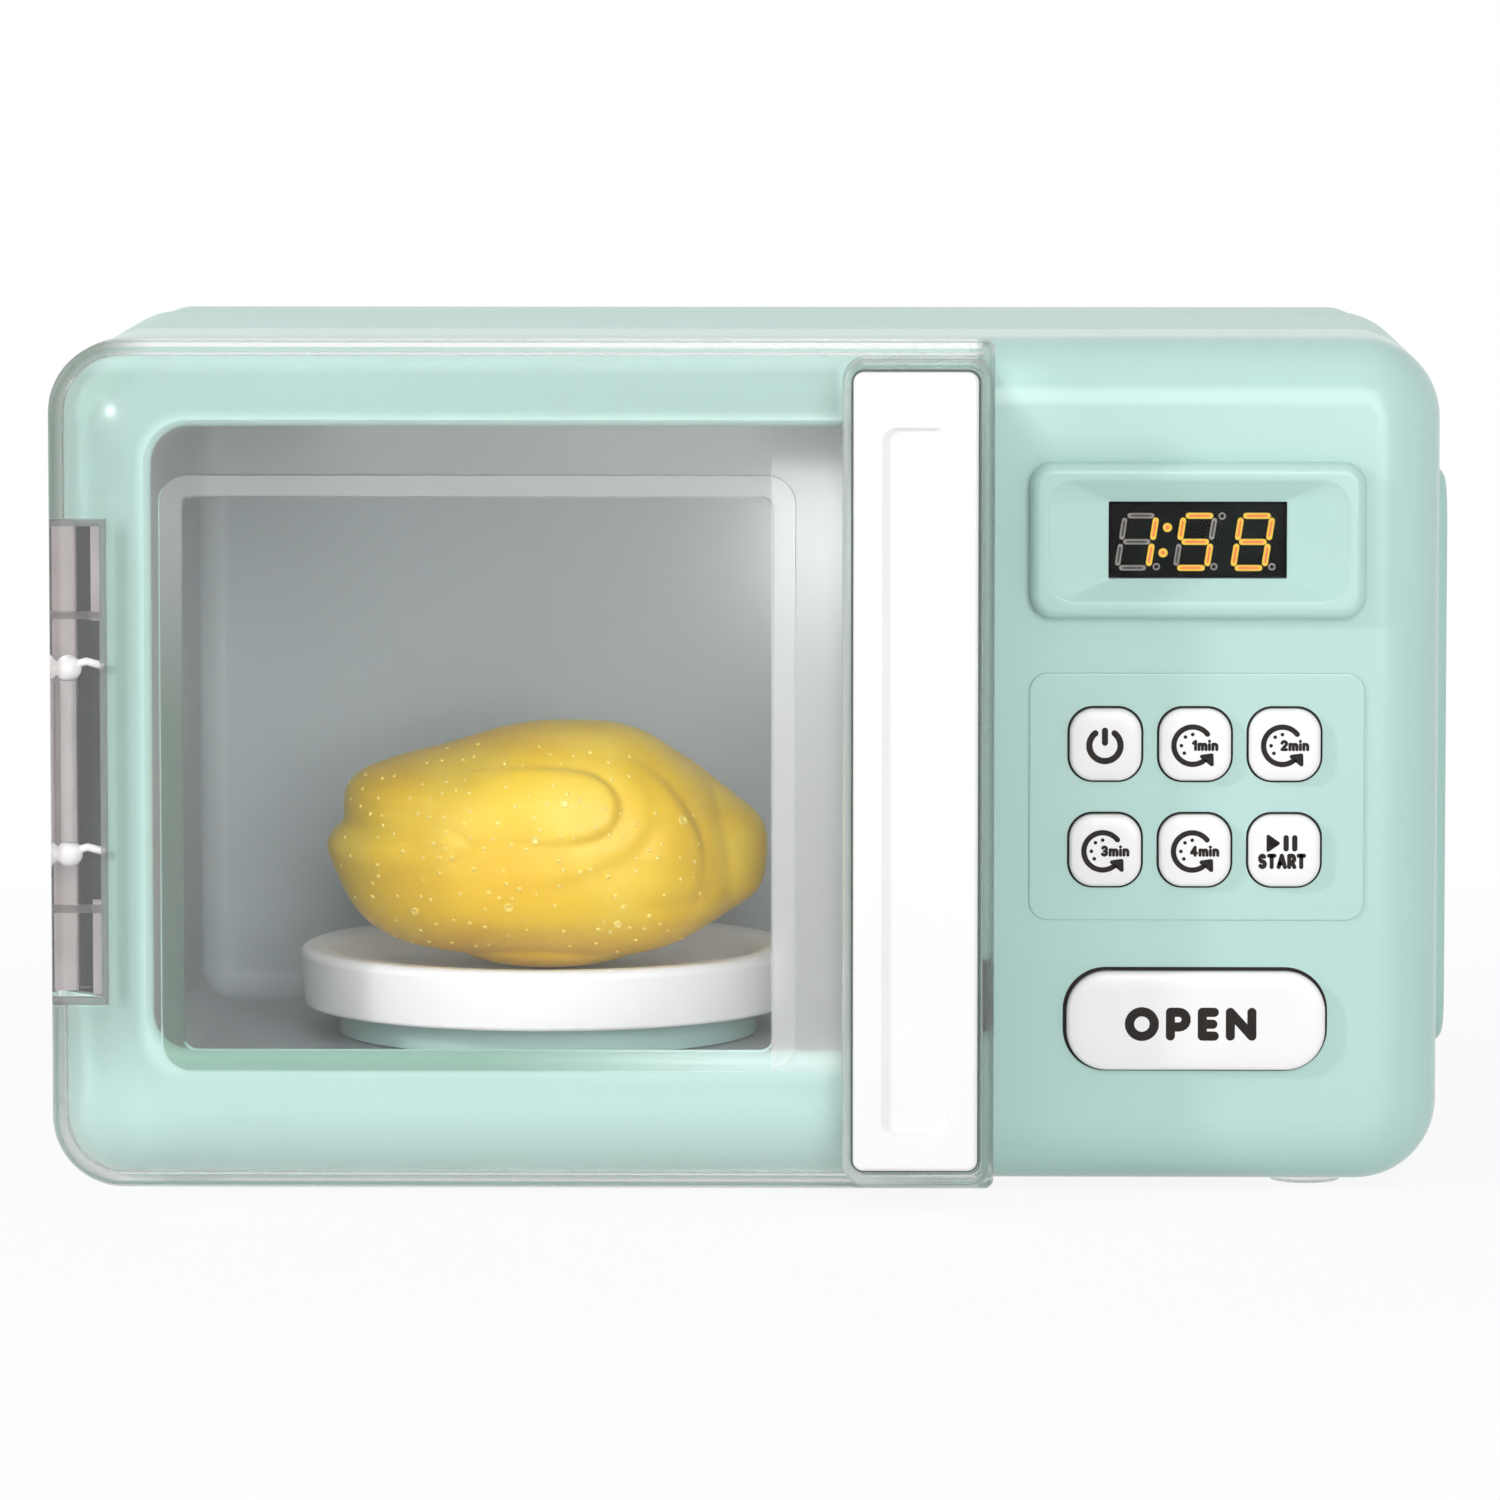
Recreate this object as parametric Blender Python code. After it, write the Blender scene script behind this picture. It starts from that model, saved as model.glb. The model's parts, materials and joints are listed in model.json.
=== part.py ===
"""Toy microwave oven, as an assembly of its separate pieces. Metres, +Z up.

The origin is at the bottom centre of the whole oven. The front faces -Y. Every piece hangs
on one empty at the control face, so a depth below counts from that face: minus is towards
the child, plus is towards the back.
"""

import math

import bmesh
import bpy
from mathutils import Matrix, Vector

# Body
BODY_WIDTH = 0.2900
BODY_BOTTOM = 0.0020
BODY_TOP = 0.1797
BODY_DEPTH = 0.1600
BODY_CORNER = 0.0170
WALL = 0.0024
GAP = 0.0003
FUSE = 0.0005
OVERRUN = 0.0040
DOOR_PROUD = 0.0130
HANDLE_PROUD = 0.0120
HALF_WIDTH = BODY_WIDTH / 2
OVERALL_DEPTH = HANDLE_PROUD + DOOR_PROUD + BODY_DEPTH
FACE_Y = HANDLE_PROUD + DOOR_PROUD - OVERALL_DEPTH / 2
FLOOR_TOP = BODY_BOTTOM + WALL

# Front shell: the control face, and the raised plinth round the cavity's mouth
SHELL_DEPTH = 0.0460
FACE_ROUND = 0.0140
SEAM_CHAMFER = 0.0006
CONTROL_WIDTH = 0.0985
PLINTH_PROUD = 0.0093
PLINTH_RIGHT = HALF_WIDTH - CONTROL_WIDTH
PILLOW_SIDE = 0.0240
PILLOW_TOP = 0.0200
PILLOW_DEPTH = 0.0220
PILLOW_BACK = 0.0200
PILLOW_SKIN = 0.0001
PILLOW_SAG = 0.0009
PILLOW_CORNER_SHARE = 0.45
MOUTH_FRAME_LEFT = 0.0210
MOUTH_FRAME_RIGHT = 0.0105
MOUTH_FRAME_BOTTOM = 0.0295
MOUTH_FRAME_TOP = 0.0178
MOUTH_CORNER = 0.0080
MOUTH_FLARE = 0.0016
MOUTH_LEFT = MOUTH_FRAME_LEFT - HALF_WIDTH
MOUTH_RIGHT = PLINTH_RIGHT - MOUTH_FRAME_RIGHT
MOUTH_BOTTOM = BODY_BOTTOM + MOUTH_FRAME_BOTTOM
MOUTH_TOP = BODY_TOP - MOUTH_FRAME_TOP

# Display surround and window
CONTROL_INSET = 0.0511
CONTROL_X = HALF_WIDTH - CONTROL_INSET
BOSS_WIDTH = 0.0702
BOSS_HEIGHT = 0.0327
BOSS_BELOW_TOP = 0.0254
BOSS_PROUD = 0.0042
BOSS_CORNER = 0.0050
BOSS_ROUND = 0.0022
BOSS_RIM = 0.0042
BOSS_Z = BODY_TOP - BOSS_BELOW_TOP - BOSS_HEIGHT / 2
WINDOW_WIDTH = 0.0372
WINDOW_HEIGHT = 0.0161
WINDOW_PROUD = 0.0010
WINDOW_CORNER = 0.0003

# Button field and buttons
FIELD_WIDTH = 0.0702
FIELD_HEIGHT = 0.0520
FIELD_BELOW_BOSS = 0.0115
FIELD_CORNER = 0.0040
FIELD_PROUD = 0.0006
FIELD_Z = BOSS_Z - BOSS_HEIGHT / 2 - FIELD_BELOW_BOSS - FIELD_HEIGHT / 2
BUTTON_WIDTH = 0.0153
BUTTON_HEIGHT = 0.0155
BUTTON_CORNER = 0.0050
BUTTON_PITCH_X = 0.0187
BUTTON_PITCH_Z = 0.0222
BUTTON_SHIFT = 0.0004
BUTTON_PROUD = 0.0024
BUTTON_ROUND = 0.0010
BUTTON_CLEARANCE = 0.0005
BUTTON_FLANGE = 0.0012
BUTTON_FLANGE_LAP = 0.0012
BUTTON_TRAVEL = 0.0015
BUTTON_STEM_RADIUS = 0.0025
BUTTON_NAMES = ("power", "1_minute", "2_minutes", "3_minutes", "4_minutes", "start")
BUTTON_COLUMNS = 3
OPEN_WIDTH = 0.0560
OPEN_HEIGHT = 0.0216
OPEN_BELOW_FIELD = 0.0096
OPEN_CORNER = 0.0085
OPEN_PROUD = 0.0030
OPEN_TRAVEL = 0.0025
OPEN_Z = FIELD_Z - FIELD_HEIGHT / 2 - OPEN_BELOW_FIELD - OPEN_HEIGHT / 2

# Control board and what sits on it
BOARD_WIDTH = 0.0760
BOARD_BELOW_FIELD = 0.0051
BOARD_DEPTH = 0.0090
BOARD_THICK = 0.0016
BOARD_INSET = 0.0050
BOARD_LEFT = CONTROL_X - BOARD_WIDTH / 2
BOARD_RIGHT = CONTROL_X + BOARD_WIDTH / 2
BOARD_BOTTOM = FIELD_Z - FIELD_HEIGHT / 2 - BOARD_BELOW_FIELD
BOARD_TOP = BOSS_Z + BOSS_HEIGHT / 2
PILLAR_RADIUS = 0.0030
MAT_THICK = 0.0007
MAT_MARGIN = 0.0060
DOME_RADIUS = 0.0030
DOME_RISE = 0.0006
BUTTON_STEM_END = BOARD_DEPTH - GAP - MAT_THICK - DOME_RISE - GAP - BUTTON_TRAVEL
DISPLAY_MARGIN = 0.0012
PANE_THICK = 0.0009
SCREW_RADIUS = 0.0012
SCREW_HEAD_RADIUS = 0.0026
SCREW_HEAD = 0.0016
SCREW_REACH = 0.0040
SCREW_CLEARANCE = 0.0003
HEAD_SIDE_SHARE = 0.6
HEAD_TOP_SHARE = 0.7

# Latch
LATCH_CLEARANCE = 0.0005
LATCH_WIDTH = 0.0017
LATCH_HEIGHT = 0.0085
LATCH_RAISED = 0.0005
LATCH_REACH = 0.0050
LATCH_SLOT_MARGIN = 0.0009
LATCH_LEFT = PLINTH_RIGHT + LATCH_CLEARANCE
LATCH_BOTTOM = OPEN_Z + LATCH_RAISED - LATCH_HEIGHT / 2
LATCH_TOP = LATCH_BOTTOM + LATCH_HEIGHT
CLAW_GAP = 0.0015
CLAW_WIDTH = 0.0026
CLAW_DEPTH = 0.0033
BAR_THICK = 0.0025
BAR_TAIL = 0.0110
WEDGE_INSET = 0.0010
WEDGE_WIDTH = 0.0060
WEDGE_DEPTH = 0.0075
WEDGE_GAP = 0.0008
BAR_DEPTH = WEDGE_DEPTH + WEDGE_WIDTH + OPEN_TRAVEL + GAP
GUIDE_INSET = 0.0080
GUIDE_WIDTH = 0.0050
GUIDE_THICK = 0.0018

# Door
DOOR_LAP = 0.0050
DOOR_ABOVE_BOTTOM = 0.0010
DOOR_ABOVE_TOP = 0.0002
DOOR_CORNER = 0.0150
DOOR_CORNER_RIGHT = 0.0020
DOOR_WALL = 0.0025
DOOR_EDGE = 0.0015
DOOR_BACK = 0.0010
DOOR_BACK_LEFT = 0.0035
DOOR_RIGHT = PLINTH_RIGHT + DOOR_LAP
DOOR_BOTTOM = BODY_BOTTOM + DOOR_ABOVE_BOTTOM
DOOR_TOP = BODY_TOP + DOOR_ABOVE_TOP
PEDESTAL_EDGE = 0.0004
PEDESTAL_WIDTH = 0.0311
PEDESTAL_LOW_EDGE = 0.0016
PEDESTAL_HIGH_EDGE = 0.0031
PEDESTAL_CORNER = 0.0050
PEDESTAL_PROUD = 0.0085
PEDESTAL_WALL = 0.0020
PEDESTAL_RIGHT = DOOR_RIGHT - PEDESTAL_EDGE
PEDESTAL_LEFT = PEDESTAL_RIGHT - PEDESTAL_WIDTH
PEDESTAL_BOTTOM = DOOR_BOTTOM + PEDESTAL_LOW_EDGE
PEDESTAL_TOP = DOOR_TOP - PEDESTAL_HIGH_EDGE
PANE_INSET_LEFT = 0.0020
PANE_INSET_TOP = 0.0097
PANE_BELOW_MOUTH = 0.0042
PANE_TO_PEDESTAL = 0.0098
PANE_CORNER = 0.0060
PANE_BEVEL = 0.0048
PANE_RECESS = 0.0012
PANE_LEFT = MOUTH_LEFT + PANE_INSET_LEFT
PANE_RIGHT = PEDESTAL_LEFT - PANE_TO_PEDESTAL
PANE_BOTTOM = MOUTH_BOTTOM - PANE_BELOW_MOUTH
PANE_TOP = MOUTH_TOP - PANE_INSET_TOP

# Handle plate
HANDLE_INSET_LEFT = 0.0022
HANDLE_INSET_RIGHT = 0.0031
HANDLE_INSET_BOTTOM = 0.0038
HANDLE_INSET_TOP = 0.0020
HANDLE_CORNER = 0.0028
HANDLE_EDGE = 0.0009
HANDLE_LEFT = PEDESTAL_LEFT + HANDLE_INSET_LEFT
HANDLE_RIGHT = PEDESTAL_RIGHT - HANDLE_INSET_RIGHT
HANDLE_BOTTOM = PEDESTAL_BOTTOM + HANDLE_INSET_BOTTOM
HANDLE_TOP = PEDESTAL_TOP - HANDLE_INSET_TOP
GROOVE_INSET = 0.0065
GROOVE_ABOVE_BOTTOM = 0.0074
GROOVE_BELOW_TOP = 0.0120
GROOVE_CORNER = 0.0026
GROOVE_SLOPE = 0.0009
GROOVE_DEPTH = 0.0012
PEG_RADIUS = 0.0022
PEG_LENGTH = 0.0036
PEG_MARGIN = 0.0300

# Hinge
HINGE_INSET = 0.0035
HINGE_BEHIND_FACE = 0.0065
HINGE_X = HINGE_INSET - HALF_WIDTH
HINGE_Y = HINGE_BEHIND_FACE - DOOR_PROUD
BOX_REACH = 0.0082
BOX_ABOVE_BOTTOM = 0.0382
BOX_BELOW_TOP = 0.0372
BOX_RIB = 0.0012
BOX_RIB_SHORT = 0.0010
RIB_INSET = 0.0200
BALL_FROM_RIB = 0.0113
BOX_RIGHT = HINGE_X + BOX_REACH
BOX_BOTTOM = DOOR_BOTTOM + BOX_ABOVE_BOTTOM
BOX_TOP = DOOR_TOP - BOX_BELOW_TOP
BALL_RADIUS = 0.0028
BALL_CLEARANCE = 0.00025
BALL_TOP_Z = BOX_TOP - RIB_INSET - BALL_FROM_RIB
BALL_BOTTOM_Z = BOX_BOTTOM + RIB_INSET + BALL_FROM_RIB
ARM_THICK = 0.0020
POST_RADIUS = 0.0030
POST_LAP = 0.0012
POST_SLOT_MARGIN = 0.0030
WEB_WIDTH = 0.0030
RECESS_SHORT = 0.0013
RECESS_DEPTH = 0.0080
RECESS_RIGHT = BOX_RIGHT - RECESS_SHORT
BRACKET_WALL = 0.0020
BRACKET_BEHIND_AXIS = 0.0017

# Housing and rear cover
REAR_DEPTH = 0.0390
HOUSING_BACK = BODY_DEPTH - REAR_DEPTH
LIP_LENGTH = 0.0050
LIP_THICK = 0.0016
SIDE_PROUD = 0.0060
SIDE_ABOVE_BOTTOM = 0.0226
SIDE_BELOW_TOP = 0.0301
SIDE_BEHIND_SEAM = 0.0040
SIDE_BEFORE_REAR = 0.0150
SIDE_CORNER = 0.0120
SIDE_ROUND = 0.0045
REAR_INSET = 0.0080
REAR_INSET_BOTTOM = 0.0015
REAR_INSET_TOP = 0.0004
REAR_CORNER = 0.0095
REAR_ROUND = 0.0070
FLANGE_THICK = 0.0024
WELL_RADIUS = 0.0062
WELL_HOLE = 0.0034
WELL_INSET = 0.0080
WELL_STANDOFF = 0.0050
WELL_FLOOR = 0.0025
STUD_RADIUS = 0.0075
STUD_LENGTH = 0.0140
REAR_SCREW_RADIUS = 0.0015
REAR_SCREW_HEAD_RADIUS = 0.0029
REAR_SCREW_HEAD = 0.0020
REAR_SCREW_REACH = 0.0100

# Feet
FOOT_RADIUS = 0.0080
FOOT_STEM_RADIUS = 0.0030
FOOT_STEM_RISE = 0.0014
FOOT_INSET = 0.0270
FOOT_DEPTH = 0.0255
FOOT_BEFORE_REAR = 0.0150
FOOT_ROUND = 0.0008
FOOT_X = HALF_WIDTH - FOOT_INSET
FOOT_REAR_DEPTH = HOUSING_BACK - FOOT_BEFORE_REAR

# Cavity liner
LINER_WALL = 0.0018
LINER_BEHIND = 0.0440
LINER_BELOW_MOUTH = 0.0040
LINER_SIDE_MARGIN = 0.0006
LINER_FLANGE = 0.0020
LINER_FLANGE_THICK = 0.0016
LINER_DRAFT = 0.0015
LINER_CORNER = 0.0080
LINER_FRONT = WALL + PILLOW_SAG - PLINTH_PROUD
LINER_BACK = BODY_DEPTH - LINER_BEHIND
LINER_BOTTOM = MOUTH_BOTTOM - LINER_BELOW_MOUTH

# Turntable
TABLE_BACK_MARGIN = 0.0056
TABLE_FRONT_MARGIN = 0.0096
PLATE_RADIUS = (LINER_BACK - LINER_FRONT - TABLE_BACK_MARGIN - TABLE_FRONT_MARGIN) / 2
TABLE_X = (MOUTH_LEFT + MOUTH_RIGHT) / 2
TABLE_Y = LINER_BACK - TABLE_BACK_MARGIN - PLATE_RADIUS
DRUM_INSET = 0.0084
DRUM_RISE = 0.0081
DRUM_ROUND = 0.0010
DRUM_RADIUS = PLATE_RADIUS - DRUM_INSET
DRUM_TOP = LINER_BOTTOM + DRUM_RISE
PLATE_RISE = 0.0062
PLATE_HEIGHT = 0.0128
PLATE_HOLLOW = 0.0057
PLATE_THICK = 0.0026
PLATE_RIM = 0.0030
PLATE_SLOPE_RUN = 0.0094
PLATE_SLOPE_SHARES = (0.6, 0.3)
PLATE_TAPER = 0.0010
PLATE_ROUND = 0.0008
PLATE_BOTTOM = LINER_BOTTOM + PLATE_RISE
PLATE_TOP = PLATE_BOTTOM + PLATE_HEIGHT
PLATE_FLOOR = PLATE_TOP - PLATE_HOLLOW
PLATE_UNDERSIDE = PLATE_FLOOR - PLATE_THICK
HUB_RADIUS = 0.0062
HUB_CLEARANCE = 0.0008
HUB_SOCKET = 0.0030
HUB_BOTTOM = DRUM_TOP + HUB_CLEARANCE
HUB_SOCKET_TOP = HUB_BOTTOM + HUB_SOCKET
SPINDLE_RADIUS = 0.0035
SPINDLE_FIT = 0.0003
SPINDLE_HOLE = 0.0042
SPINDLE_FOOT_RADIUS = 0.0020
SPINDLE_FOOT = 0.0031
SPINDLE_RISE = 0.0018
SPINDLE_BOTTOM = FLOOR_TOP + SPINDLE_RISE
BEARING_RADIUS = 0.0050
BEARING_TOP = SPINDLE_BOTTOM + SPINDLE_FOOT - GAP

# Drive
GEAR_RISE = 0.0062
GEAR_THICK = 0.0045
GEAR_DISTANCE = 0.0240
GEAR_TEETH = 36
PINION_TEETH = 12
BACKLASH = 0.00025
TOOTH_ADDENDUM_SHARE = 0.80
TOOTH_DEDENDUM_SHARE = 1.15
TOOTH_ROOT_SHARE = 1.5
TOOTH_TIP_SHARE = 0.5
GEAR_BOTTOM = BEARING_TOP + GEAR_RISE
MOTOR_LENGTH = 0.0340
MOTOR_WIDTH = 0.0250
MOTOR_CORNER = 0.0030
MOTOR_CLEARANCE = 0.0006
MOTOR_PAD_RISE = 0.0019
MOTOR_PAD_INSET = 0.0015
MOTOR_PAD_LENGTH = 0.0160
MOTOR_SHAFT_RADIUS = 0.0012
MOTOR_TOP = GEAR_BOTTOM - MOTOR_CLEARANCE
MOTOR_X = TABLE_X + GEAR_DISTANCE
MOTOR_PAD_TOP = FLOOR_TOP + MOTOR_PAD_RISE

# Cavity lamp
LAMP_DEPTH = 0.0300
LAMP_BELOW_TOP = 0.0319
LAMP_RADIUS = 0.0035
LAMP_FLANGE_RADIUS = 0.0050
LAMP_FACE_SHARE = 0.7
LAMP_PROUD = 0.0012
LAMP_BODY = 0.0060
LAMP_Z = MOUTH_TOP - LAMP_BELOW_TOP

# Speaker
SPEAKER_INSET = 0.0550
SPEAKER_ABOVE_BOTTOM = 0.0680
SPEAKER_RADIUS = 0.0180
SPEAKER_FRAME = 0.0015
SPEAKER_DEPTH = 0.0080
SPEAKER_MAGNET_RADIUS = 0.0095
SPEAKER_X = HALF_WIDTH - SPEAKER_INSET
SPEAKER_Z = BODY_BOTTOM + SPEAKER_ABOVE_BOTTOM
GRILLE_SLOTS = 6
GRILLE_PITCH = 0.0046
GRILLE_SLOT = 0.0020

# Batteries
CELL_LENGTH = 0.0505
CELL_RADIUS = 0.00725
CELL_TIP_RADIUS = 0.0027
CELL_TIP = 0.0012
CELL_PITCH = 0.0152
CELL_COUNT = 3
BAY_X = -0.0360
BAY_ABOVE_BOTTOM = 0.0750
BAY_END = 0.0030
BAY_WALL = 0.0018
BAY_SIDE = 0.0008
BAY_FLANGE = 0.0050
BAY_FLANGE_THICK = 0.0016
BAY_Z = BODY_BOTTOM + BAY_ABOVE_BOTTOM
HATCH_LAP = 0.0020
HATCH_CORNER = 0.0030
HATCH_SCREW_INSET = 0.0036
CONTACT_THICK = 0.0006
CONTACT_NUB_RADIUS = 0.0030

# Wires
WIRE_RADIUS = 0.0009
WIRE_POINTS = 18

# Play food
FOOD_MARGIN = 0.0180
FOOD_LENGTH = PLATE_RADIUS * 2 - FOOD_MARGIN
FOOD_RISE_SHARE = 0.2827
FOOD_Z = PLATE_FLOOR + GAP + FOOD_LENGTH * FOOD_RISE_SHARE
FOOD_SEGMENTS = 28
FOOD_RINGS = 16
FOOD_BLEND_SHARE = 0.060
FOOD_SMOOTH_ANGLE = 60

CORNER_STEPS = 3
ROUND_STEPS = 3
TURN_STEPS = 32
SMALL_TURN_STEPS = 10


def clear_scene():
    for item in list(bpy.data.objects):
        bpy.data.objects.remove(item)


def material(name, colour, roughness, metallic=0.0, transmission=0.0):
    """A plain plastic, rubber or metal finish."""
    finish = bpy.data.materials.new(name)
    finish.use_nodes = True
    shader = finish.node_tree.nodes["Principled BSDF"]
    shader.inputs["Base Color"].default_value = (*colour, 1.0)
    shader.inputs["Roughness"].default_value = roughness
    shader.inputs["Metallic"].default_value = metallic
    shader.inputs["Transmission Weight"].default_value = transmission
    finish.diffuse_color = (*colour, 1.0 - transmission / 2)
    return finish


def empty(name, place, parent=None):
    axis = bpy.data.objects.new(name, None)
    bpy.context.scene.collection.objects.link(axis)
    axis.parent = parent
    axis.location = place
    return axis


def add(name, mesh, finish, frame, pivot=(0, 0, 0), smooth_angle=35):
    """Makes a finished node of a bmesh, with its origin at pivot."""
    bmesh.ops.remove_doubles(mesh, verts=mesh.verts, dist=GAP / 100)
    bmesh.ops.recalc_face_normals(mesh, faces=mesh.faces)
    bmesh.ops.translate(mesh, verts=mesh.verts, vec=-Vector(pivot))
    data = bpy.data.meshes.new(name)
    mesh.to_mesh(data)
    mesh.free()
    data.materials.append(finish)
    data.shade_smooth()
    data.set_sharp_from_angle(angle=math.radians(smooth_angle))
    piece = bpy.data.objects.new(name, data)
    bpy.context.scene.collection.objects.link(piece)
    piece.parent = frame
    piece.location = pivot
    return piece


def shape(piece, mesh, operation):
    """Cuts a bmesh out of a piece, or joins it on. The bmesh is kept as a hidden tool."""
    name = f"{piece.name}_tool_{len(piece.modifiers)}"
    pivot = piece.location.copy()
    tool = add(name, mesh, piece.data.materials[0], piece.parent, pivot)
    tool.hide_render = True
    tool.display_type = "WIRE"
    tool.hide_set(True)
    modifier = piece.modifiers.new(name, "BOOLEAN")
    modifier.operation = operation
    modifier.solver = "EXACT"
    modifier.object = tool


def cut(piece, mesh):
    shape(piece, mesh, "DIFFERENCE")


def join(piece, mesh):
    shape(piece, mesh, "UNION")


def outline(left, right, bottom, top, corner, left_corner=None, steps=CORNER_STEPS):
    """A rectangle with round corners, as pairs of across and up, anticlockwise."""
    left_corner = corner if left_corner is None else left_corner
    corners = (
        (right, top, -1, -1, corner, 0),
        (left, top, 1, -1, left_corner, 90),
        (left, bottom, 1, 1, left_corner, 180),
        (right, bottom, -1, 1, corner, 270),
    )
    points = []
    for across, up, inward, downward, radius, start in corners:
        for step in range(steps + 1):
            angle = math.radians(start + 90 * step / steps)
            centre = Vector((across + inward * radius, up + downward * radius))
            points.append(centre + radius * Vector((math.cos(angle), math.sin(angle))))
    return points


def stand(points, depth):
    """Outline points stood up in a plane at this depth."""
    return [Vector((across, depth, up)) for across, up in points]


def loft(rings):
    """A closed solid through rings of as many points each, capped at both ends."""
    mesh = bmesh.new()
    rows = [[mesh.verts.new(point) for point in ring] for ring in rings]
    mesh.faces.new(rows[0])
    mesh.faces.new(reversed(rows[-1]))
    for near, far in zip(rows, rows[1:]):
        for index in range(len(near)):
            after = (index + 1) % len(near)
            mesh.faces.new((near[index], near[after], far[after], far[index]))
    return mesh


def loop_solid(rings):
    """A closed solid round an opening: the rings join end to end."""
    mesh = bmesh.new()
    rows = [[mesh.verts.new(point) for point in ring] for ring in rings]
    for near, far in zip(rows, rows[1:] + rows[:1]):
        for index in range(len(near)):
            after = (index + 1) % len(near)
            mesh.faces.new((near[index], near[after], far[after], far[index]))
    return mesh


def sides_about(middle_x, middle_z, width, height, margin=0):
    """Left, right, bottom and top of a rectangle about its middle."""
    return (middle_x - width / 2 - margin, middle_x + width / 2 + margin,
            middle_z - height / 2 - margin, middle_z + height / 2 + margin)


def box(left, right, front, back, bottom, top):
    mesh = bmesh.new()
    bmesh.ops.create_cube(mesh, size=1)
    for vert in mesh.verts:
        vert.co.x = right if vert.co.x > 0 else left
        vert.co.y = back if vert.co.y > 0 else front
        vert.co.z = top if vert.co.z > 0 else bottom
    return mesh


def turned(profile, centre, direction="Z", steps=TURN_STEPS):
    """A profile of radius and height pairs, spun about a line through centre."""
    mesh = bmesh.new()
    verts = [mesh.verts.new((radius, 0, height)) for radius, height in profile]
    edges = [mesh.edges.new(pair) for pair in zip(verts, verts[1:])]
    bmesh.ops.spin(
        mesh, geom=verts + edges, angle=math.tau, steps=steps,
        axis=(0, 0, 1), cent=(0, 0, 0), use_merge=True,
    )
    bmesh.ops.remove_doubles(mesh, verts=mesh.verts, dist=GAP / 100)
    turn = {"X": Matrix.Rotation(math.pi / 2, 4, "Y"), "Z": Matrix.Identity(4),
            "Y": Matrix.Rotation(-math.pi / 2, 4, "X")}[direction]
    bmesh.ops.transform(mesh, matrix=Matrix.Translation(centre) @ turn, verts=mesh.verts)
    bmesh.ops.recalc_face_normals(mesh, faces=mesh.faces)
    return mesh


def rod(radius, start, length, direction="Z", steps=SMALL_TURN_STEPS):
    """A round bar from start, along +X, +Y or +Z."""
    profile = ((0, 0), (radius, 0), (radius, length), (0, length))
    return turned(profile, start, direction, steps)


def rounded_block(sides, corner, edge, front, back, left_corner=None):
    """A block on an outline, whose front edges are rounded by a quarter circle."""
    left, right, bottom, top = sides
    rings = []
    for step in range(ROUND_STEPS + 1):
        angle = math.pi / 2 * (1 - step / ROUND_STEPS)
        inset = edge * (1 - math.cos(angle))
        rings.append(stand(inner_outline(sides, inset, corner, left_corner),
                           front + edge * (1 - math.sin(angle))))
    rings.append(stand(outline(left, right, bottom, top, corner, left_corner), back))
    return loft(rings)


def inner_outline(sides, inset, corner, left_corner=None):
    """The outline that lies inset inside these sides. Its corners shrink by the same."""
    left, right, bottom, top = sides
    least = GAP
    left_corner = corner if left_corner is None else left_corner
    return outline(left + inset, right - inset, bottom + inset, top - inset,
                   max(corner - inset, least), max(left_corner - inset, least))


BODY_SIDES = (-HALF_WIDTH, HALF_WIDTH, BODY_BOTTOM, BODY_TOP)
DOOR_SIDES = (-HALF_WIDTH, DOOR_RIGHT, DOOR_BOTTOM, DOOR_TOP)
BOSS_SIDES = sides_about(CONTROL_X, BOSS_Z, BOSS_WIDTH, BOSS_HEIGHT)
WINDOW_SIDES = sides_about(CONTROL_X, BOSS_Z, WINDOW_WIDTH, WINDOW_HEIGHT)
FIELD_SIDES = sides_about(CONTROL_X, FIELD_Z, FIELD_WIDTH, FIELD_HEIGHT)


def control_block(wall):
    """The box behind the control face, a wall's thickness smaller all round."""
    back = SHELL_DEPTH if wall == 0 else SHELL_DEPTH + OVERRUN
    rings = []
    for step in range(ROUND_STEPS + 2):
        angle = math.pi / 2 * (1 - step / (ROUND_STEPS + 1))
        radius = FACE_ROUND - wall
        inset = wall + radius * (1 - math.cos(angle))
        rings.append(stand(inner_outline(BODY_SIDES, inset, BODY_CORNER),
                           wall + radius * (1 - math.sin(angle))))
    if wall == 0:
        rings.append(stand(inner_outline(BODY_SIDES, 0, BODY_CORNER), back - SEAM_CHAMFER))
        rings.append(stand(inner_outline(BODY_SIDES, SEAM_CHAMFER, BODY_CORNER), back))
    else:
        rings.append(stand(inner_outline(BODY_SIDES, wall, BODY_CORNER), back))
    return loft(rings)


def plinth_block(wall):
    """The raised block round the cavity's mouth, with soft pillow sides under the door."""
    rings = []
    skin = wall + PILLOW_SKIN
    centre = PILLOW_DEPTH - PLINTH_PROUD
    for step in range(ROUND_STEPS + 3):
        angle = math.pi / 2 * (1 - step / (ROUND_STEPS + 2))
        share = 1 - math.cos(angle)
        side = skin + (PILLOW_SIDE - skin) * share
        rise = skin + (PILLOW_TOP - skin) * share
        corner = max(BODY_CORNER - skin - PILLOW_CORNER_SHARE * (side - skin), GAP)
        points = outline(-HALF_WIDTH + side, PLINTH_RIGHT - wall, BODY_BOTTOM + rise,
                         BODY_TOP - rise, GAP, corner)
        rings.append(stand(points, centre - (PILLOW_DEPTH - wall) * math.sin(angle)))
    back = PILLOW_BACK if wall == 0 else PILLOW_BACK + OVERRUN
    rings.append([Vector((point.x, back, point.z)) for point in rings[-1]])
    return loft(rings)


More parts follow.
